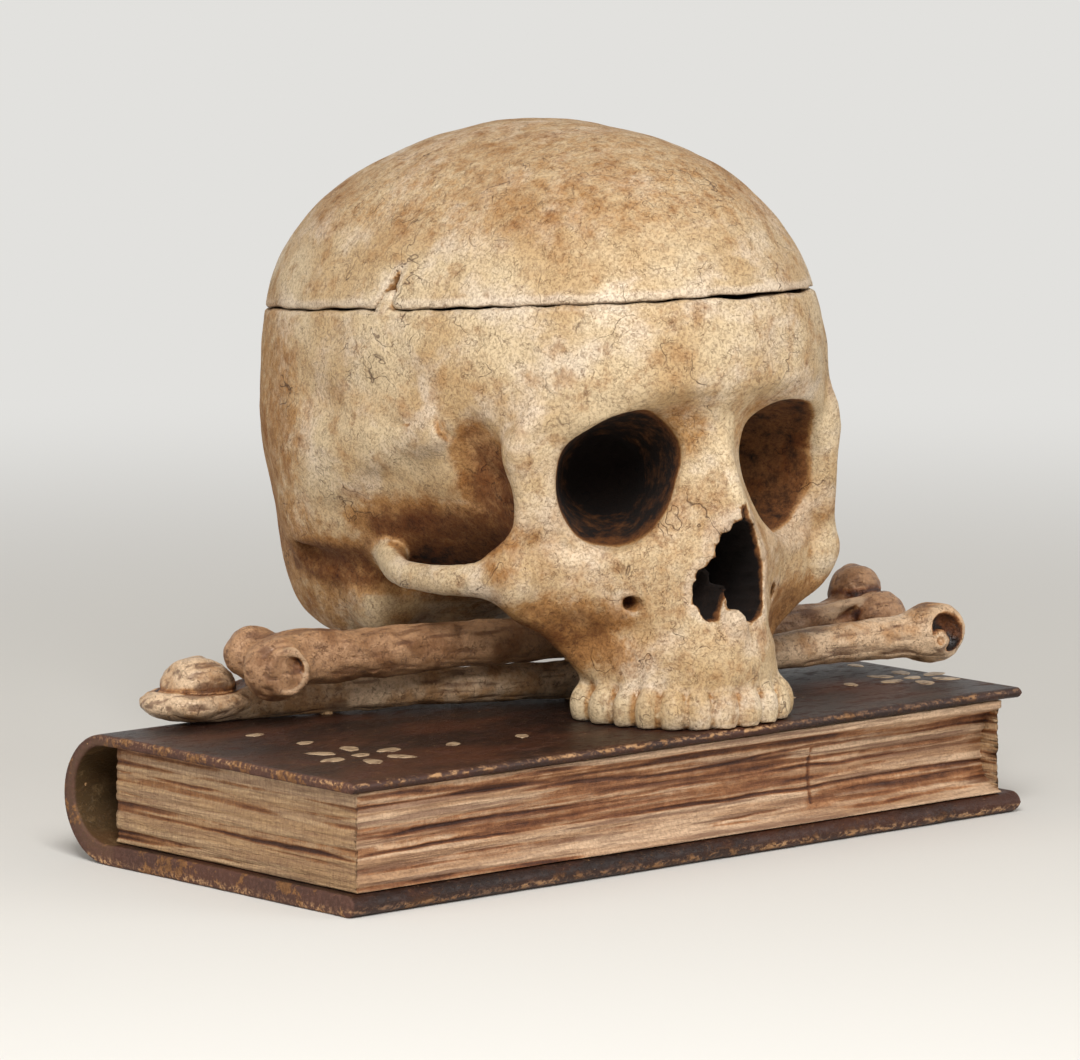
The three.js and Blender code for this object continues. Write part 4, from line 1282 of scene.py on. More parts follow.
def spaced(stops, steps):
    """Values that pass through the stops, with the given number of steps between them."""
    parts = [np.linspace(a, b, n, endpoint=False) for a, b, n in zip(stops[:-1], stops[1:], steps)]
    return np.append(np.concatenate(parts), stops[-1])


# %% The cover's section
UPPER_BOARD = (board_high.z - board_low.z) / mm
LOWER_BOARD = (under_high.z - under_low.z) / mm
SPINE_BAND = 4.4
SPINE_TURN_SHARE = 1.4
spine_join = board_high.y / mm
cover_front = board_low.y / mm
spine_depth = spine_high.y / mm - spine_join
NOSE_POINTS = 5
COVER_STEP = 1.5 * WIDENING


def half_nose(thickness):
    """A quarter turn from the tip of a board's rounded front: how far behind the tip, and
    how far above the middle of the board, each from 0 to half the thickness."""
    turn = np.linspace(0, math.pi / 2, NOSE_POINTS + 1)
    return thickness / 2 * (1 - np.cos(turn)), thickness / 2 * np.sin(turn)


def cover_section():
    """The outer and inner lines of the section, as y and z, from the tip of the upper
    board, round the spine, to the tip of the lower board."""
    back, high = half_nose(UPPER_BOARD)
    middle = cover_top - UPPER_BOARD / 2
    outer = [np.stack([cover_front + back, middle + high], 1)]
    inner = [np.stack([cover_front + back, middle - high], 1)]
    count = int((spine_join - cover_front) / COVER_STEP)
    run = np.linspace(cover_front + UPPER_BOARD / 2, spine_join, count)[1:]
    outer.append(np.stack([run, np.full(len(run), cover_top)], 1))
    inner.append(np.stack([run, np.full(len(run), cover_top - UPPER_BOARD)], 1))
    turns = int(SPINE_TURN_SHARE * cover_top / COVER_STEP)
    turn = np.linspace(math.pi / 2, -math.pi / 2, turns)[1:-1]
    half = (cover_top - UPPER_BOARD - LOWER_BOARD) / 2
    back, up = np.cos(turn), 1 + np.sin(turn)
    outer.append(np.stack([spine_join + spine_depth * back, cover_top / 2 * up], 1))
    inside = spine_join + (spine_depth - SPINE_BAND) * back
    inner.append(np.stack([inside, LOWER_BOARD + half * up], 1))
    back, high = half_nose(LOWER_BOARD)
    run = np.linspace(spine_join, cover_front + LOWER_BOARD / 2, count)[:-1]
    outer.append(np.stack([run, np.zeros(len(run))], 1))
    inner.append(np.stack([run, np.full(len(run), LOWER_BOARD)], 1))
    outer.append(np.stack([cover_front + back, LOWER_BOARD / 2 - high], 1)[::-1])
    inner.append(np.stack([cover_front + back, LOWER_BOARD / 2 + high], 1)[::-1])
    return np.concatenate(outer), np.concatenate(inner)


END_ROUNDING = 0.9
END_RINGS = 4
PULL_MOST = 0.9
UPPER_ARRIS = 0.8
LOWER_ARRIS = 1.4
ARRIS_FADE = 1.8
GUTTER_SHARE = 0.93
GUTTER_MARGIN = 4.0
HOLD_TOP, HOLD_FOOT, HOLD_LEAST = 3.0, 2.0, 0.9
COVER_WAVES = ((22, 0.5, 21), (7, 0.3, 22), (2.6, 0.16, 23))
RAGGED_FADE = 2.5
FRONT_RAGGED = 0.55
END_RAGGED = 0.45
EDGE_LIFT = 0.18
GUTTER_LIFT = 0.5


def cover_rings():
    """The places of the rings along the book and how far each is drawn in from full size:
    a quarter turn at both ends, and even steps between."""
    turn = np.linspace(0, math.pi / 2, END_RINGS)
    half = book_length / 2
    flat = half - END_ROUNDING
    run = np.linspace(-flat, flat, int(book_length / COVER_STEP))[1:-1]
    ends = END_ROUNDING * (1 - np.cos(turn))
    shrink = END_ROUNDING * (1 - np.sin(turn))
    along = np.concatenate([[-half], -half + ends, run, half - ends[::-1], [half]])
    drawn = np.concatenate([[0], shrink, np.zeros(len(run)), shrink[::-1], [0]])
    return along, drawn


def cover_piece():
    """The cover as one mesh, uneven as carved wood is, with masks for its ends, its worn
    edges and the rough inside of the spine."""
    outer, inner = cover_section()
    along, drawn = cover_rings()
    middle = (outer + inner) / 2
    towards = middle - outer
    reach = np.maximum(np.linalg.norm(towards, axis=1, keepdims=True), 1e-6)
    pull = np.minimum(drawn[:, None, None] / reach, PULL_MOST)
    stacks = []
    for line, sign in ((outer, 1), (inner, -1)):
        section = line + sign * towards * pull
        x = np.broadcast_to(along[:, None, None], (*section.shape[:2], 1))
        stacks.append(np.concatenate([x, section], axis=2))
    points, quads = closed_band(*stacks)
    front = points[:, 1] - cover_front
    from_end = np.minimum(points[:, 0] + book_length / 2, book_length / 2 - points[:, 0])
    from_edge = np.minimum(front, from_end)
    lift = sum(depth * noise(points, size, seed) for size, depth, seed in COVER_WAVES)
    below_top = np.clip((cover_top - points[:, 2]) / HOLD_TOP, 0, 1)
    well_inside = below_top * np.clip(points[:, 2] / HOLD_FOOT, 0, 1) > HOLD_LEAST
    ragged_edge = np.exp(-from_edge / RAGGED_FADE)
    points[:, 1] += FRONT_RAGGED * lift * ragged_edge * np.clip(front, 0, 1)
    ragged_end = np.exp(-from_end / RAGGED_FADE)
    points[:, 0] += END_RAGGED * lift * ragged_end * np.sign(-points[:, 0])
    in_gutter = (points[:, 1] > spine_join - GUTTER_MARGIN) & well_inside
    points[:, 2] += lift * np.where(in_gutter, GUTTER_LIFT, EDGE_LIFT * ragged_edge)
    half = book_length / 2
    low = (-half, cover_front, 0)
    points = np.clip(points, low, (half, spine_join + spine_depth, cover_top))
    height = points[:, 2]
    behind_pages = np.maximum(points[:, 1] - spine_join, 0)
    from_middle = np.hypot(behind_pages / spine_depth, height / (cover_top / 2) - 1)
    on_upper = np.exp(-((height - cover_top + UPPER_ARRIS) / UPPER_ARRIS) ** 2)
    on_lower = np.exp(-((height - LOWER_ARRIS) / LOWER_ARRIS) ** 2)
    masks = {
        "from_end": from_end,
        "arris": np.exp(-from_edge / ARRIS_FADE) * np.maximum(on_upper, on_lower),
        "gutter": (points[:, 1] > spine_join - GUTTER_MARGIN) & (from_middle < GUTTER_SHARE),
    }
    return mesh_object("book_cover", points * mm, quads, masks)


cover = cover_piece()
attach(cover, "base")
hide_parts("upper_board", "lower_board", "book_spine")

# %% [markdown]
# ## The pages
#
# Nobody carved single pages. The block has scored lines instead, a few deep and long ones
# and many fine ones, all nearly level. A groove is a function of how far along the block
# a point is and how high: noise stretched a long way sideways gives the fine ones, and
# each deep one has a height of its own that wanders as it goes.

# %% Page grooves
pages_low_mm = np.array(pages_low) / mm
pages_high_mm = np.array(pages_high) / mm
PAGE_STEP = 0.95 * WIDENING
PAGE_LEVELS = int(76 / WIDENING)
PAGE_JOINT = 48.0
JOINT_WIDTH = 0.35
JOINT_MIDDLE_SHARE = 0.45
JOINT_HALF_SHARE = 0.3
JOINT_DEPTH = 0.35
CORNER_INSET = 0.5
CORNER_FADE = 0.3
END_DEPTH_SHARE = 0.8
FRONT_CLEARANCE = 0.2
END_OFFSET = 300
GROOVE_HEIGHTS = (0.94, 0.84, 0.74, 0.63, 0.53, 0.43, 0.33, 0.23, 0.14, 0.06)
GROOVE_DEPTHS = (0.35, 0.6, 0.55, 0.4, 0.6, 0.35, 0.7, 0.35, 0.5, 0.45)
GROOVE_WIDTHS = (0.4, 0.7, 0.4, 0.7, 0.35, 0.8, 0.4, 0.6, 0.35, 0.5)
GROOVE_APART = 40.0
GROOVE_SWELL = (0.65, 0.7, 24)
GROOVE_LEAST = 0.1
GROOVE_SPREAD = (0.7, 0.6)
STRIP_HEIGHT = 2.6
STRIP_DEPTH = 0.3
STRIP_STRETCH = 0.03
STRIP_GAIN = 4
FINE_LINES = ((0.03, 0.75, 0.28, 0), (0.05, 1.7, 0.22, 1))
WANDER = ((45, 0.9, 2), (15, 0.45, 3), (5, 0.15, 5))
TOP_STRIP_SHARE = 0.87
TOP_STRIP_RISE = 30


def grooves(along, height, seed):
    """Depth of the scored lines in millimetres, from the place along the block and the
    height over its foot. Between them lie flat strips, each a little deeper or less deep."""
    full = pages_high_mm[2] - pages_low_mm[2]
    flat = np.stack([along, np.zeros_like(along), height], 1)
    strips = STRIP_GAIN * noise(flat * (STRIP_STRETCH, 1, 1), STRIP_HEIGHT, seed + 6)
    depth = STRIP_DEPTH * (1 + np.clip(strips, -1, 1))
    for stretch, size, deep, more in FINE_LINES:
        depth += deep * np.clip(noise(flat * (stretch, 1, 1), size, seed + more), 0, 1)
    middle, change, size = GROOVE_SWELL
    for k, (share, deep, wide) in enumerate(zip(GROOVE_HEIGHTS, GROOVE_DEPTHS, GROOVE_WIDTHS)):
        line = np.stack([along, np.full_like(along, GROOVE_APART * k), np.zeros_like(along)], 1)
        wander = sum(reach * noise(line, size, seed + more) for size, reach, more in WANDER)
        swell = np.clip(middle + change * noise(line, size, seed + 4), GROOVE_LEAST, 1)
        off = height - share * full - wander
        wide = wide * (GROOVE_SPREAD[0] + GROOVE_SPREAD[1] * swell)
        depth += deep * swell * np.exp(-(off / wide) ** 2)
    return depth


SCOOP_NEAR = 1.2
SCOOP_FAR = 7.5
SCOOP_MARGIN = 1.5
SCOOP_LEDGE = 0.14


def scoop(along, height):
    """How far the fore-edge is hollowed: an ellipse between the boards, shallow at the
    left end and deep at the right end, under a ledge that follows the upper board."""
    full = pages_high_mm[2] - pages_low_mm[2]
    share = (along - pages_low_mm[0]) / (pages_high_mm[0] - pages_low_mm[0])
    deep = SCOOP_NEAR + (SCOOP_FAR - SCOOP_NEAR) * share
    from_middle = (height / full - 0.5 + SCOOP_LEDGE / 4) / (0.5 - SCOOP_MARGIN / full)
    return deep * np.sqrt(np.clip(1 - from_middle ** 2, 0, 1))


def page_piece():
    """The page block, with masks for the grooves, the fore-edge and the pale top strip."""
    (x0, y0, z0), (x1, y1, z1) = pages_low_mm, pages_high_mm
    middle = (y0 + y1) / 2
    side = int((y1 - y0) / 2 / PAGE_STEP)
    front = int((x1 - x0) / PAGE_STEP)
    x = spaced((x0, x0, x1, x1), (side, front, side))
    outer_y = spaced((middle, y0, y0, middle), (side, front, side))
    inner_y = spaced((middle, y1, y1, middle), (side, front, side))
    full = z1 - z0
    levels = np.concatenate([[0, 0], np.linspace(0, full, PAGE_LEVELS), [full] * 2])
    inset = np.zeros((len(levels), 1))
    inset[[1, -2]] = CORNER_INSET
    stacks = []
    for y in (outer_y, inner_y):
        across = np.clip(x, x0 + CORNER_INSET, x1 - CORNER_INSET) - x
        grid = np.zeros((len(levels), len(x), 3))
        grid[..., 0] = x + np.where(inset > 0, across, 0)
        grid[..., 1] = y + np.sign(middle - y) * inset
        grid[..., 2] = z0 + levels[:, None]
        stacks.append(grid)
    points, quads = closed_band(*stacks)
    height = points[:, 2] - z0
    on_left, on_right, on_front = (
        np.exp(-np.clip(away, 0, None) / CORNER_FADE)
        for away in (points[:, 0] - x0, x1 - points[:, 0], points[:, 1] - y0)
    )
    on_side = np.maximum(on_left, on_right)
    side_depth = grooves(points[:, 1] + END_OFFSET, height, 31)
    front_depth = grooves(points[:, 0], height, 41)
    hollow = scoop(points[:, 0], height)
    joint = np.exp(-((points[:, 0] - PAGE_JOINT) / JOINT_WIDTH) ** 2)
    joint *= np.abs(height / full - JOINT_MIDDLE_SHARE) < JOINT_HALF_SHARE
    front_depth = front_depth + JOINT_DEPTH * joint
    points[:, 1] += on_front * (front_depth + hollow)
    reach = np.clip((points[:, 1] - y0) / 2, 0, 1)
    points[:, 0] += (on_left - on_right) * side_depth * END_DEPTH_SHARE
    depth = np.maximum(on_front * front_depth, on_side * side_depth)
    kept_back = np.maximum(points[:, 1], y0 + FRONT_CLEARANCE)
    points[:, 1] = np.where(on_front > 0.5, points[:, 1], kept_back)
    masks = {
        "groove": np.clip(depth - STRIP_DEPTH, 0, 2),
        "fore_edge": on_front * (1 - on_side * reach),
        "top_strip": np.clip(1 + (height / full - TOP_STRIP_SHARE) * TOP_STRIP_RISE, 0, 1),
    }
    return mesh_object("pages", points * mm, quads, masks)


pages = page_piece()
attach(pages, "base")
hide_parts("page_block")

# %% Painted dots
ROSETTE_PLACES = ((-93.0, -28.0, 11.0), (114.0, -29.0, 9.5))
PETALS = 6
PETAL_RADII = (4.1, 2.5)
HEART_RADII = (2.9, 2.3)
LONE_RADII = (3.0, 1.9)
LONE_DOTS = (
    (-93.5, 16.9), (-91.7, -2.6), (-62.5, -30.5), (-39.5, -32.8), (91.5, -26.6), (117.5, -1.5),
    (62, -31),
)
HEART_TURN = 0.3
PETAL_TURN = 0.12
DOT_RISE = 0.16
DOT_SINK = 0.1
DOT_HALF_SIDES = 16
DOT_WAVES = ((3, 0.07), (5, 0.05))
DOT_RINGS = ((0.96, -1), (0.98, -1), (1.0, 0.1), (0.93, 0.6), (0.75, 0.9), (0.4, 1), (0.2, 1))


def dot_places():
    """Each dot's middle, the way it points and its two radii."""
    dots = []
    for x, y, radius in ROSETTE_PLACES:
        dots.append((x, y, HEART_TURN, *HEART_RADII))
        for k in range(PETALS):
            turn = 2 * math.pi * k / PETALS + PETAL_TURN
            petal = x + radius * math.cos(turn), y + radius * math.sin(turn)
            dots.append((*petal, turn, *PETAL_RADII))
    return dots + [(x, y, HEART_TURN * k, *LONE_RADII) for k, (x, y) in enumerate(LONE_DOTS)]


def dots_piece():
    """All the dots as one mesh. Each is a low dome over an uneven oval: rings of x, y =
    share * radius * (cos, sin) of the turn, from a sunken foot to the top."""
    shares, rises = np.array(DOT_RINGS).T
    heights = np.where(rises < 0, -DOT_SINK, rises * DOT_RISE) + cover_top
    turn = np.linspace(0, math.pi, DOT_HALF_SIDES)
    points, quads, total = [], [], 0
    for x, y, facing, long, short in dot_places():
        halves = []
        for side in (-1, 1):
            at = side * turn
            waves = zip(DOT_WAVES, (x, y))
            wobble = 1 + sum(high * np.sin(count * at + start) for (count, high), start in waves)
            a = shares[:, None] * long * np.cos(at) * wobble
            b = shares[:, None] * short * np.sin(at) * wobble
            c, s = math.cos(facing), math.sin(facing)
            z = np.broadcast_to(heights[:, None], a.shape)
            halves.append(np.stack([x + a * c - b * s, y + a * s + b * c, z], 2))
        dot, faces = closed_band(*halves)
        points.append(dot)
        quads.append(faces + total)
        total += len(dot)
    return mesh_object("cover_dots", np.concatenate(points) * mm, np.concatenate(quads))


dots = dots_piece()
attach(dots, "base")

# %% [markdown]
# ## Paint, stain and painted shade
#
# The carver painted the bone cream, then rubbed brown stain over everything and wiped it
# off again. The stain stayed in the hollows, the tool marks and the cracks of the paint,
# and hands have since rubbed the high edges pale. So the finish has layers: two or three
# tones in soft patches, freckles and fine cracks, stain that follows the masks of each
# mesh, and wear. The same darkening also paints shade: the eye sockets and the nose go near
# black, and the hollows, the underside, the lower face and the back of the head are
# painted darker where shade falls. Each layer that more than one material needs is a node
# group. All patterns are measured in millimetres of object space.

# %% Node groups
SOCKET_KINDS = {
    "Place": "Vector", "Stretch": "Vector", "Paint": "Color", "Light": "Color",
    "Brown": "Color", "Dark": "Color", "Color": "Color",
}
BREAK_SHIFT = (31.0, 17.0, 47.0)
BREAK_SCALE = 0.9
BREAK_SHARPNESS = 9.0
STAIN_AND_SHADE_NOISE = (0.22, 8.0, 0.72)
STAIN_AND_SHADE_UNEVEN = 0.95
WHITE = (1.0, 1.0, 1.0, 1.0)


def new_group(name, inputs, outputs):
    """An empty node group with the named sockets: its tree, its inputs as Values and the
    sockets that its outputs are fed to. A socket is a number unless SOCKET_KINDS names it."""
    tree = bpy.data.node_groups.new(name, "ShaderNodeTree")
    for direction, sockets in (("INPUT", inputs), ("OUTPUT", outputs)):
        for socket in sockets:
            kind = "NodeSocket" + SOCKET_KINDS.get(socket, "Float")
            tree.interface.new_socket(socket, in_out=direction, socket_type=kind)
    given = add(tree, "NodeGroupInput").outputs
    return tree, [Value(given[socket]) for socket in inputs], add(tree, "NodeGroupOutput").inputs


def cloud(tree, place, scale, detail, roughness, distortion=0.0):
    """Smooth noise from 0 to 1."""
    made = add(tree, "ShaderNodeTexNoise", {
        "Vector": place, "Scale": scale, "Detail": detail, "Roughness": roughness,
        "Distortion": distortion,
    })
    return Value(made.outputs["Fac"])


def mottle_group():
    """Soft patches: noise of a given size in millimetres, drawn out along an axis where
    Stretch is below 1. The mask rises from 0 to 1 as the noise goes from Low to High."""
    tree, (place, stretch, size, rough, low, high), result = new_group(
        "mottle", ("Place", "Stretch", "Size", "Rough", "Low", "High"), ("Mask",),
    )
    stretched = add(tree, "ShaderNodeVectorMath", {0: place, 1: stretch}, operation="MULTIPLY")
    noise_seen = cloud(tree, stretched.outputs[0], maths("DIVIDE", 1.0, size), 4.0, rough)
    feed(result["Mask"], rise(noise_seen, low, high))
    return tree


def hairline_group():
    """Short hairlines: where a smooth noise crosses its mean, broken off wherever a finer
    noise is low. Size is in millimetres, and Width is in the noise's own units."""
    tree, (place, size, width, share), result = new_group(
        "hairlines", ("Place", "Size", "Width", "Share"), ("Mask",),
    )
    scale = maths("DIVIDE", 1.0, size)
    off = maths("ABSOLUTE", cloud(tree, place, scale, 3.0, 0.55, 0.4) - 0.5)
    line = maths("SUBTRACT", 1.0, maths("DIVIDE", off, width), clamp=True)
    moved = add(tree, "ShaderNodeVectorMath", {0: place, 1: BREAK_SHIFT}, operation="ADD")
    breaks = cloud(tree, moved.outputs[0], scale * BREAK_SCALE, 3.0, 0.6)
    kept = maths("MULTIPLY", breaks - (1.0 - share), BREAK_SHARPNESS, clamp=True)
    feed(result["Mask"], line * kept)
    return tree


def stain_and_shade_group():
    """Brown stain and painted shade rubbed into a finish: each step multiplies the paint's colour
    by a darker tint, so the paint's own pattern shows through. Noise makes its border uneven."""
    tree, (place, paint, given_depth, light, brown, dark), result = new_group(
        "stain_and_painted_shade", ("Place", "Paint", "Depth", "Light", "Brown", "Dark"), ("Color", "Depth"),
    )
    uneven = (cloud(tree, place, *STAIN_AND_SHADE_NOISE) - 0.5) * STAIN_AND_SHADE_UNEVEN
    shift = uneven * rise(given_depth, 0.0, 0.3)
    depth = maths("ADD", given_depth, shift, clamp=True)
    tint = coated(
        WHITE, (rise(depth, 0.02, 0.38), light), (rise(depth, 0.3, 0.7), brown),
        (rise(depth, 0.68, 1.0), dark),
    )
    inputs = {0: 1.0, 6: paint, 7: tint}
    stain_and_shade = add(tree, "ShaderNodeMix", inputs, data_type="RGBA", blend_type="MULTIPLY")
    feed(result["Color"], stain_and_shade.outputs[2])
    feed(result["Depth"], depth)
    return tree


mottle = mottle_group()
hairlines = hairline_group()
stain_and_painted_shade = stain_and_shade_group()

# %% A finish
EVEN = (1.0, 1.0, 1.0)
# Tints of the rubbed stain, which also paint shade: the darkest, near black, stands for the shade deep
# in the eye sockets and the nose.
LIGHT_STAIN_AND_SHADE = colour(212, 180, 140)
BROWN_STAIN_AND_SHADE = colour(138, 98, 62)
DARK_STAIN_AND_SHADE = colour(30, 20, 15)


class Finish:
    """A material in the making: its tree, its shader and the place on the object, in
    millimetres of the real size, that its patterns are asked for."""

    def __init__(self, name):
        self.material, self.tree, self.shader = new_material(name)
        place = add(self.tree, "ShaderNodeTexCoord").outputs["Object"]
        inputs = {0: place, "Scale": 1 / mm}
        self.place = add(self.tree, "ShaderNodeVectorMath", inputs, operation="SCALE").outputs[0]

    def group(self, group, **inputs):
        """The outputs of a node group that is put into the material."""
        inputs = {"Place": self.place, **inputs}
        return add(self.tree, "ShaderNodeGroup", inputs, node_tree=group).outputs

    def patches(self, size, rough, low, high, stretch=EVEN):
        """Soft patches of a size in millimetres: 0 where the noise is low, 1 where high."""
        inputs = {"Stretch": stretch, "Size": size, "Rough": rough, "Low": low, "High": high}
        return Value(self.group(mottle, **inputs)["Mask"])

    def cracks(self, size, width, share):
        """Hairlines of a size in millimetres, kept over a share of their length."""
        return Value(self.group(hairlines, Size=size, Width=width, Share=share)["Mask"])

    def mask(self, name):
        """A mask that was stored on the mesh."""
        return Value(add(self.tree, "ShaderNodeAttribute", attribute_name=name).outputs["Fac"])

    def rubbed(self, tone, depth, light=LIGHT_STAIN_AND_SHADE, brown=BROWN_STAIN_AND_SHADE, dark=DARK_STAIN_AND_SHADE):
        """The colour with stain and painted shade rubbed in to a depth from 0 to 1, and that
        depth, uneven.
        """
        inputs = {"Paint": tone, "Depth": depth, "Light": light, "Brown": brown, "Dark": dark}
        made = self.group(stain_and_painted_shade, **inputs)
        return Value(made["Color"]), Value(made["Depth"])

    def done(self, tone, roughness, height, relief, **constants):
        """The material, once its colour, roughness, bump and constants are set. A bump of
        height 1 stands as many millimetres proud as the relief says."""
        inputs = {"Height": height, "Distance": relief * mm}
        bump = add(self.tree, "ShaderNodeBump", inputs)
        feed(self.shader.inputs["Base Color"], tone)
        feed(self.shader.inputs["Roughness"], roughness)
        feed(self.shader.inputs["Normal"], bump.outputs["Normal"])
        for name, value in constants.items():
            self.shader.inputs[name.replace("_", " ")].default_value = value
        return self.material


# %% Bone paint
CHALK = colour(232, 214, 192)
CREAM = colour(214, 190, 152)
TAN = colour(194, 162, 118)
OCHRE = colour(166, 122, 74)
UMBER = colour(108, 66, 32)
DARK_UMBER = colour(66, 38, 18)
BOWL_WOOD = colour(146, 104, 62)


def bone_paint():
    """Cream paint in patches, freckled and cracked, stained and painted with shade in its
    hollows, and worn.
    """
    finish = Finish("bone_paint")
    broad = finish.patches(30, 0.55, 0.4, 0.62)
    chalky = finish.patches(17, 0.6, 0.46, 0.7, (0.8, 1, 1.3))
    patch = finish.patches(8, 0.62, 0.5, 0.7, (1.2, 0.8, 1))
    fleck = finish.patches(2.4, 0.7, 0.52, 0.68)
    grain = finish.patches(0.8, 0.7, 0.48, 0.6)
    freckle = finish.cracks(1.1, 0.034, 0.53)
    short = finish.cracks(3.4, 0.016, 0.5)
    long = finish.cracks(15, 0.007, 0.5)
    worn = rise(finish.mask("edge"), 0.15, 0.7)
    tone = coated(
        CREAM, (broad, TAN), (chalky * 0.6, CHALK), (patch * 0.6, OCHRE),
        (fleck * (patch * 0.4 + 0.12), UMBER), (worn * 0.5, CHALK), (grain * 0.3, UMBER),
        (freckle * 0.5, UMBER), (short * 0.62, UMBER), (long * 0.85, DARK_UMBER),
    )
    # Stain and painted shade: the deeper a point lies below the uncut form, and the more its own forms
    # shut it in, the darker it is painted; in the eye sockets and the nose it goes near black for the
    # shade there.
    below = finish.mask("sunk")
    sunk = rise(below, 0.6, 6.5) * 0.72 + rise(below, 4, 22) * 0.42
    shut = rise(finish.mask("recess"), 0.12, 1) * 0.52
    depth = maths("MAXIMUM", sunk, maths("MAXIMUM", shut, finish.mask("stain_and_shade")))
    tone, stain_and_shade_depth = finish.rubbed(tone, depth)
    streak = finish.patches(2.2, 0.6, 0.5, 0.72, (1, 1, 0.12))
    bare = coated(BOWL_WOOD, (streak * 0.5, UMBER))
    # Painted shade along the saw cut: a dark band on both rims stands for the shade in the gap between
    # the crown and the head.
    saw_cut_shade = rise(finish.mask("saw_cut_shade"), 0.8, 1)
    tone = coated(tone, (finish.mask("inside"), bare), (saw_cut_shade * 0.6, DARK_UMBER))
    rough = maths("ADD", patch * 0.2 + 0.46, stain_and_shade_depth * 0.6, clamp=True)
    lines = maths("MAXIMUM", freckle * 0.5, maths("MAXIMUM", short, long))
    height = grain * -0.35 - lines + fleck * -0.5
    return finish.done(tone, rough, height, 0.2, Specular_IOR_Level=0.35)


paint = bone_paint()
for piece in (cranium, crown):
    piece.data.materials.append(paint)

# %% Shaft paint
SHAFT_BROWN = colour(92, 54, 28)
THIN_PALE, THIN_OCHRE = colour(222, 190, 154), colour(180, 136, 92)
THICK_PALE, THICK_OCHRE = colour(178, 136, 98), colour(132, 90, 54)


def shaft_paint(name, light, ochre):
    """Ochre paint on a bone, with stain in the furrows that run along it, and stain and
    painted shade where its own forms shut it in.
    """
    finish = Finish(name)
    patch = finish.patches(12, 0.6, 0.42, 0.64)
    pale = finish.patches(5, 0.6, 0.5, 0.66)
    fleck = finish.patches(2, 0.7, 0.5, 0.68)
    grain = finish.patches(0.6, 0.7, 0.45, 0.64)
    fine = finish.cracks(2.4, 0.022, 0.53)
    furrow = rise(finish.mask("furrow"), 0.55, 1)
    worn = rise(finish.mask("edge"), 0.3, 0.85)
    tone = coated(
        light, (patch, ochre), (pale * 0.45, light), (fleck * 0.42, SHAFT_BROWN),
        (grain * 0.25, SHAFT_BROWN), (furrow * 0.7, SHAFT_BROWN), (worn * 0.55, THIN_PALE),
        (fine * 0.7, SHAFT_BROWN),
    )
    # Stain and painted shade where the bone's own forms shut the surface in.
    tone, _ = finish.rubbed(tone, rise(finish.mask("recess"), 0.08, 0.8))
    height = grain * -0.4 - fine - furrow * 0.6
    return finish.done(tone, patch * 0.2 + 0.42, height, 0.22)


thin_bone.data.materials.append(shaft_paint("shaft_paint", THIN_PALE, THIN_OCHRE))
thick_bone.data.materials.append(shaft_paint("thick_shaft_paint", THICK_PALE, THICK_OCHRE))

# %% Cover stain
COVER_DARK = colour(30, 15, 9)
COVER_RED = colour(70, 36, 20)
COVER_GOLD = colour(188, 146, 104)
COVER_TAN = colour(142, 98, 58)
COVER_ROSE = colour(100, 68, 56)
COVER_OLIVE = colour(124, 100, 66)


def cover_stain():
    """Dark glossy stain over red-brown wood, rubbed through to gold along the edges."""
    finish = Finish("cover_stain")
    broad = finish.patches(26, 0.6, 0.42, 0.68, (0.5, 1, 1))
    patch = finish.patches(6, 0.7, 0.48, 0.7, (0.6, 1, 1))
    fleck = finish.patches(1.5, 0.7, 0.46, 0.62, (0.6, 1, 1))
    specks = finish.patches(1.2, 0.4, 0.74, 0.77)
    scuff = finish.cracks(2.4, 0.02, 0.5)
    arris = finish.mask("arris")
    on_end = rise(finish.mask("from_end"), 1.4, 0.2)
    rubbed = coated(COVER_ROSE, (rise(patch, 0.1, 0.6), COVER_TAN))
    wear = maths("MULTIPLY", fleck, broad * 0.9 + 0.3, clamp=True)
    gold = maths("MULTIPLY", rise(arris, 0.3, 0.85), wear, clamp=True)
    tone = coated(
        COVER_DARK, (broad * 0.8, COVER_RED), (patch * 0.45, COVER_RED), (scuff * 0.35, COVER_TAN),
        (finish.mask("gutter") * (patch * 0.4 + 0.3), COVER_OLIVE),
        (on_end * (fleck * 0.35 + 0.5), rubbed), (arris * (fleck * 0.6 + 0.25), rubbed),
        (gold, COVER_GOLD), (specks, COVER_GOLD),
    )
    rough = maths("MAXIMUM", patch, on_end) * 0.25 + 0.42
    height = patch * 0.8 + fleck * 0.5
    return finish.done(tone, rough, height, 0.18, Specular_IOR_Level=0.28)


cover.data.materials.append(cover_stain())

# %% Gilt dots
GILT = colour(184, 158, 126)
GILT_DARK = colour(94, 62, 40)


def gilt():
    """Worn gilt paint, scratched through to the stain under it."""
    finish = Finish("gilt_dots")
    scratch = finish.patches(0.9, 0.6, 0.5, 0.62, (0.25, 1, 1))
    tone = coated(GILT, (scratch * 0.8, GILT_DARK))
    return finish.done(tone, 0.42, scratch * -1.0, 0.1, Metallic=0.25)


dots.data.materials.append(gilt())

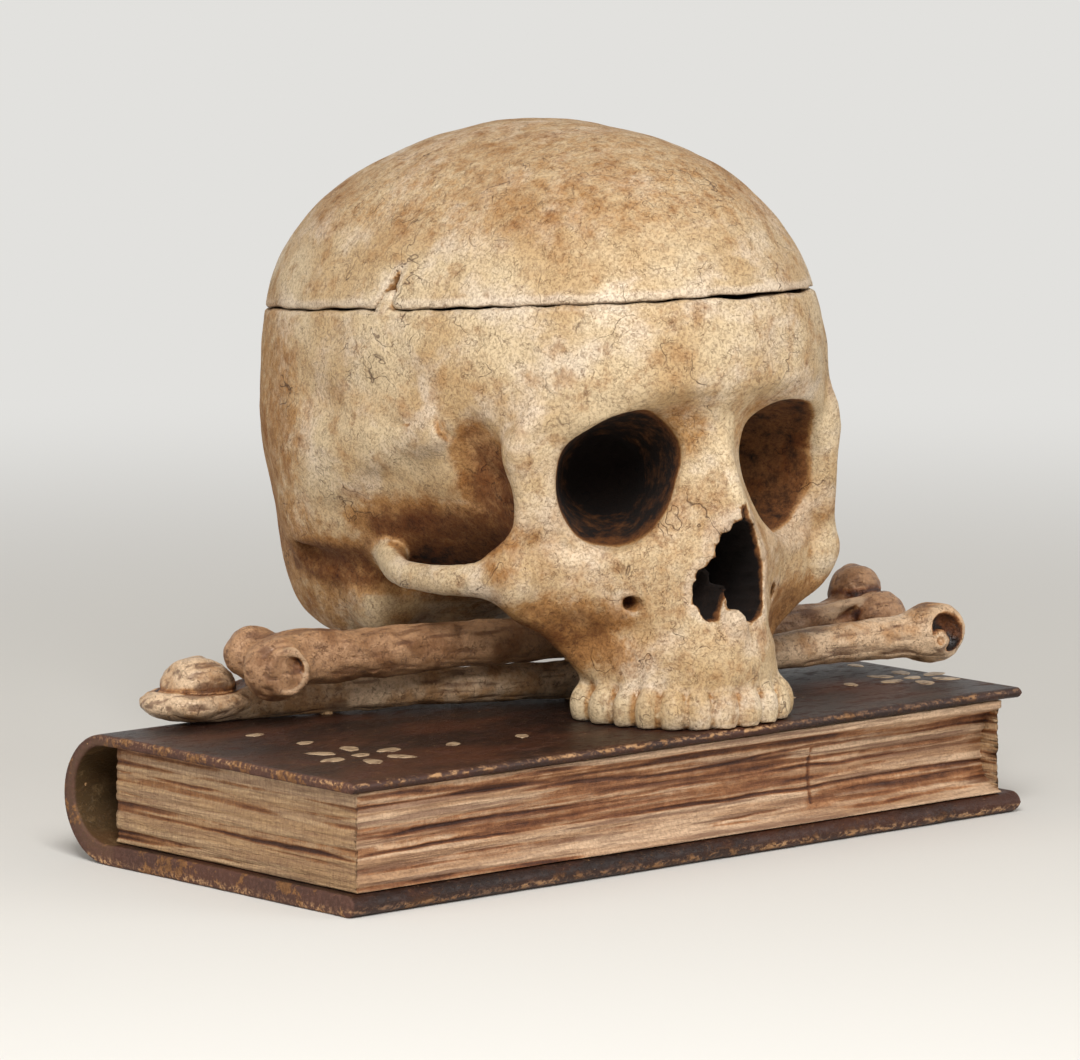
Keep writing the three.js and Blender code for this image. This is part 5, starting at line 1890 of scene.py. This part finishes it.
# %% Page stain
PAGE_PALE = colour(216, 182, 148)
PAGE_TAN = colour(180, 140, 104)
PAGE_OLIVE = colour(176, 144, 100)
PAGE_BROWN = colour(120, 84, 62)
SCORED_LIGHT = colour(214, 184, 156)
SCORED_BROWN = colour(164, 126, 96)
SCORED_DARK = colour(108, 76, 58)


def page_stain():
    """Tan wood in long stripes, with brown stain down in the scored lines."""
    finish = Finish("page_stain")
    band = finish.patches(3.4, 0.6, 0.42, 0.6, (0.04, 0.04, 1))
    stripe = finish.patches(1.9, 0.55, 0.5, 0.62, (0.03, 0.03, 0.9))
    streak = finish.patches(0.8, 0.7, 0.46, 0.64, (0.07, 0.07, 1))
    patch = finish.patches(16, 0.6, 0.4, 0.68)
    grain = finish.patches(0.6, 0.7, 0.45, 0.62, (0.7, 0.7, 0.7))
    brushed = finish.patches(0.7, 0.6, 0.45, 0.62, (1, 1, 0.12))
    end = maths("SUBTRACT", 1.0, finish.mask("fore_edge"), clamp=True)
    tone = coated(
        PAGE_PALE, (band, PAGE_TAN), (end * 0.6, PAGE_OLIVE),
        (finish.mask("top_strip") * 0.55, PAGE_PALE), (brushed * end * 0.3, PAGE_BROWN),
        (stripe * (0.7 - end * 0.4), PAGE_BROWN), (streak * 0.4, PAGE_BROWN),
        (grain * 0.28, PAGE_BROWN),
    )
    scored = rise(finish.mask("groove"), 0.15, 0.9)
    tone, _ = finish.rubbed(tone, scored, SCORED_LIGHT, SCORED_BROWN, SCORED_DARK)
    height = grain * -0.5 + streak * -0.7 - stripe
    return finish.done(tone, patch * 0.2 + 0.5, height, 0.2, Specular_IOR_Level=0.4)


pages.data.materials.append(page_stain())

# %% Plain wood
DOWEL_LIGHT = colour(206, 168, 122)
DOWEL_DARK = colour(158, 116, 74)


def plain_wood():
    """Bare turned wood: long upright grain in two tones."""
    finish = Finish("plain_wood")
    grain = finish.patches(0.8, 0.6, 0.4, 0.66, (1, 1, 0.08))
    return finish.done(coated(DOWEL_LIGHT, (grain, DOWEL_DARK)), 0.6, grain, 0.08)


bare_wood = plain_wood()
for node in ("crossing_dowel", "front_dowel", "bone_peg"):
    piece = bpy.data.objects[node]
    piece.data.materials.clear()
    piece.data.materials.append(bare_wood)
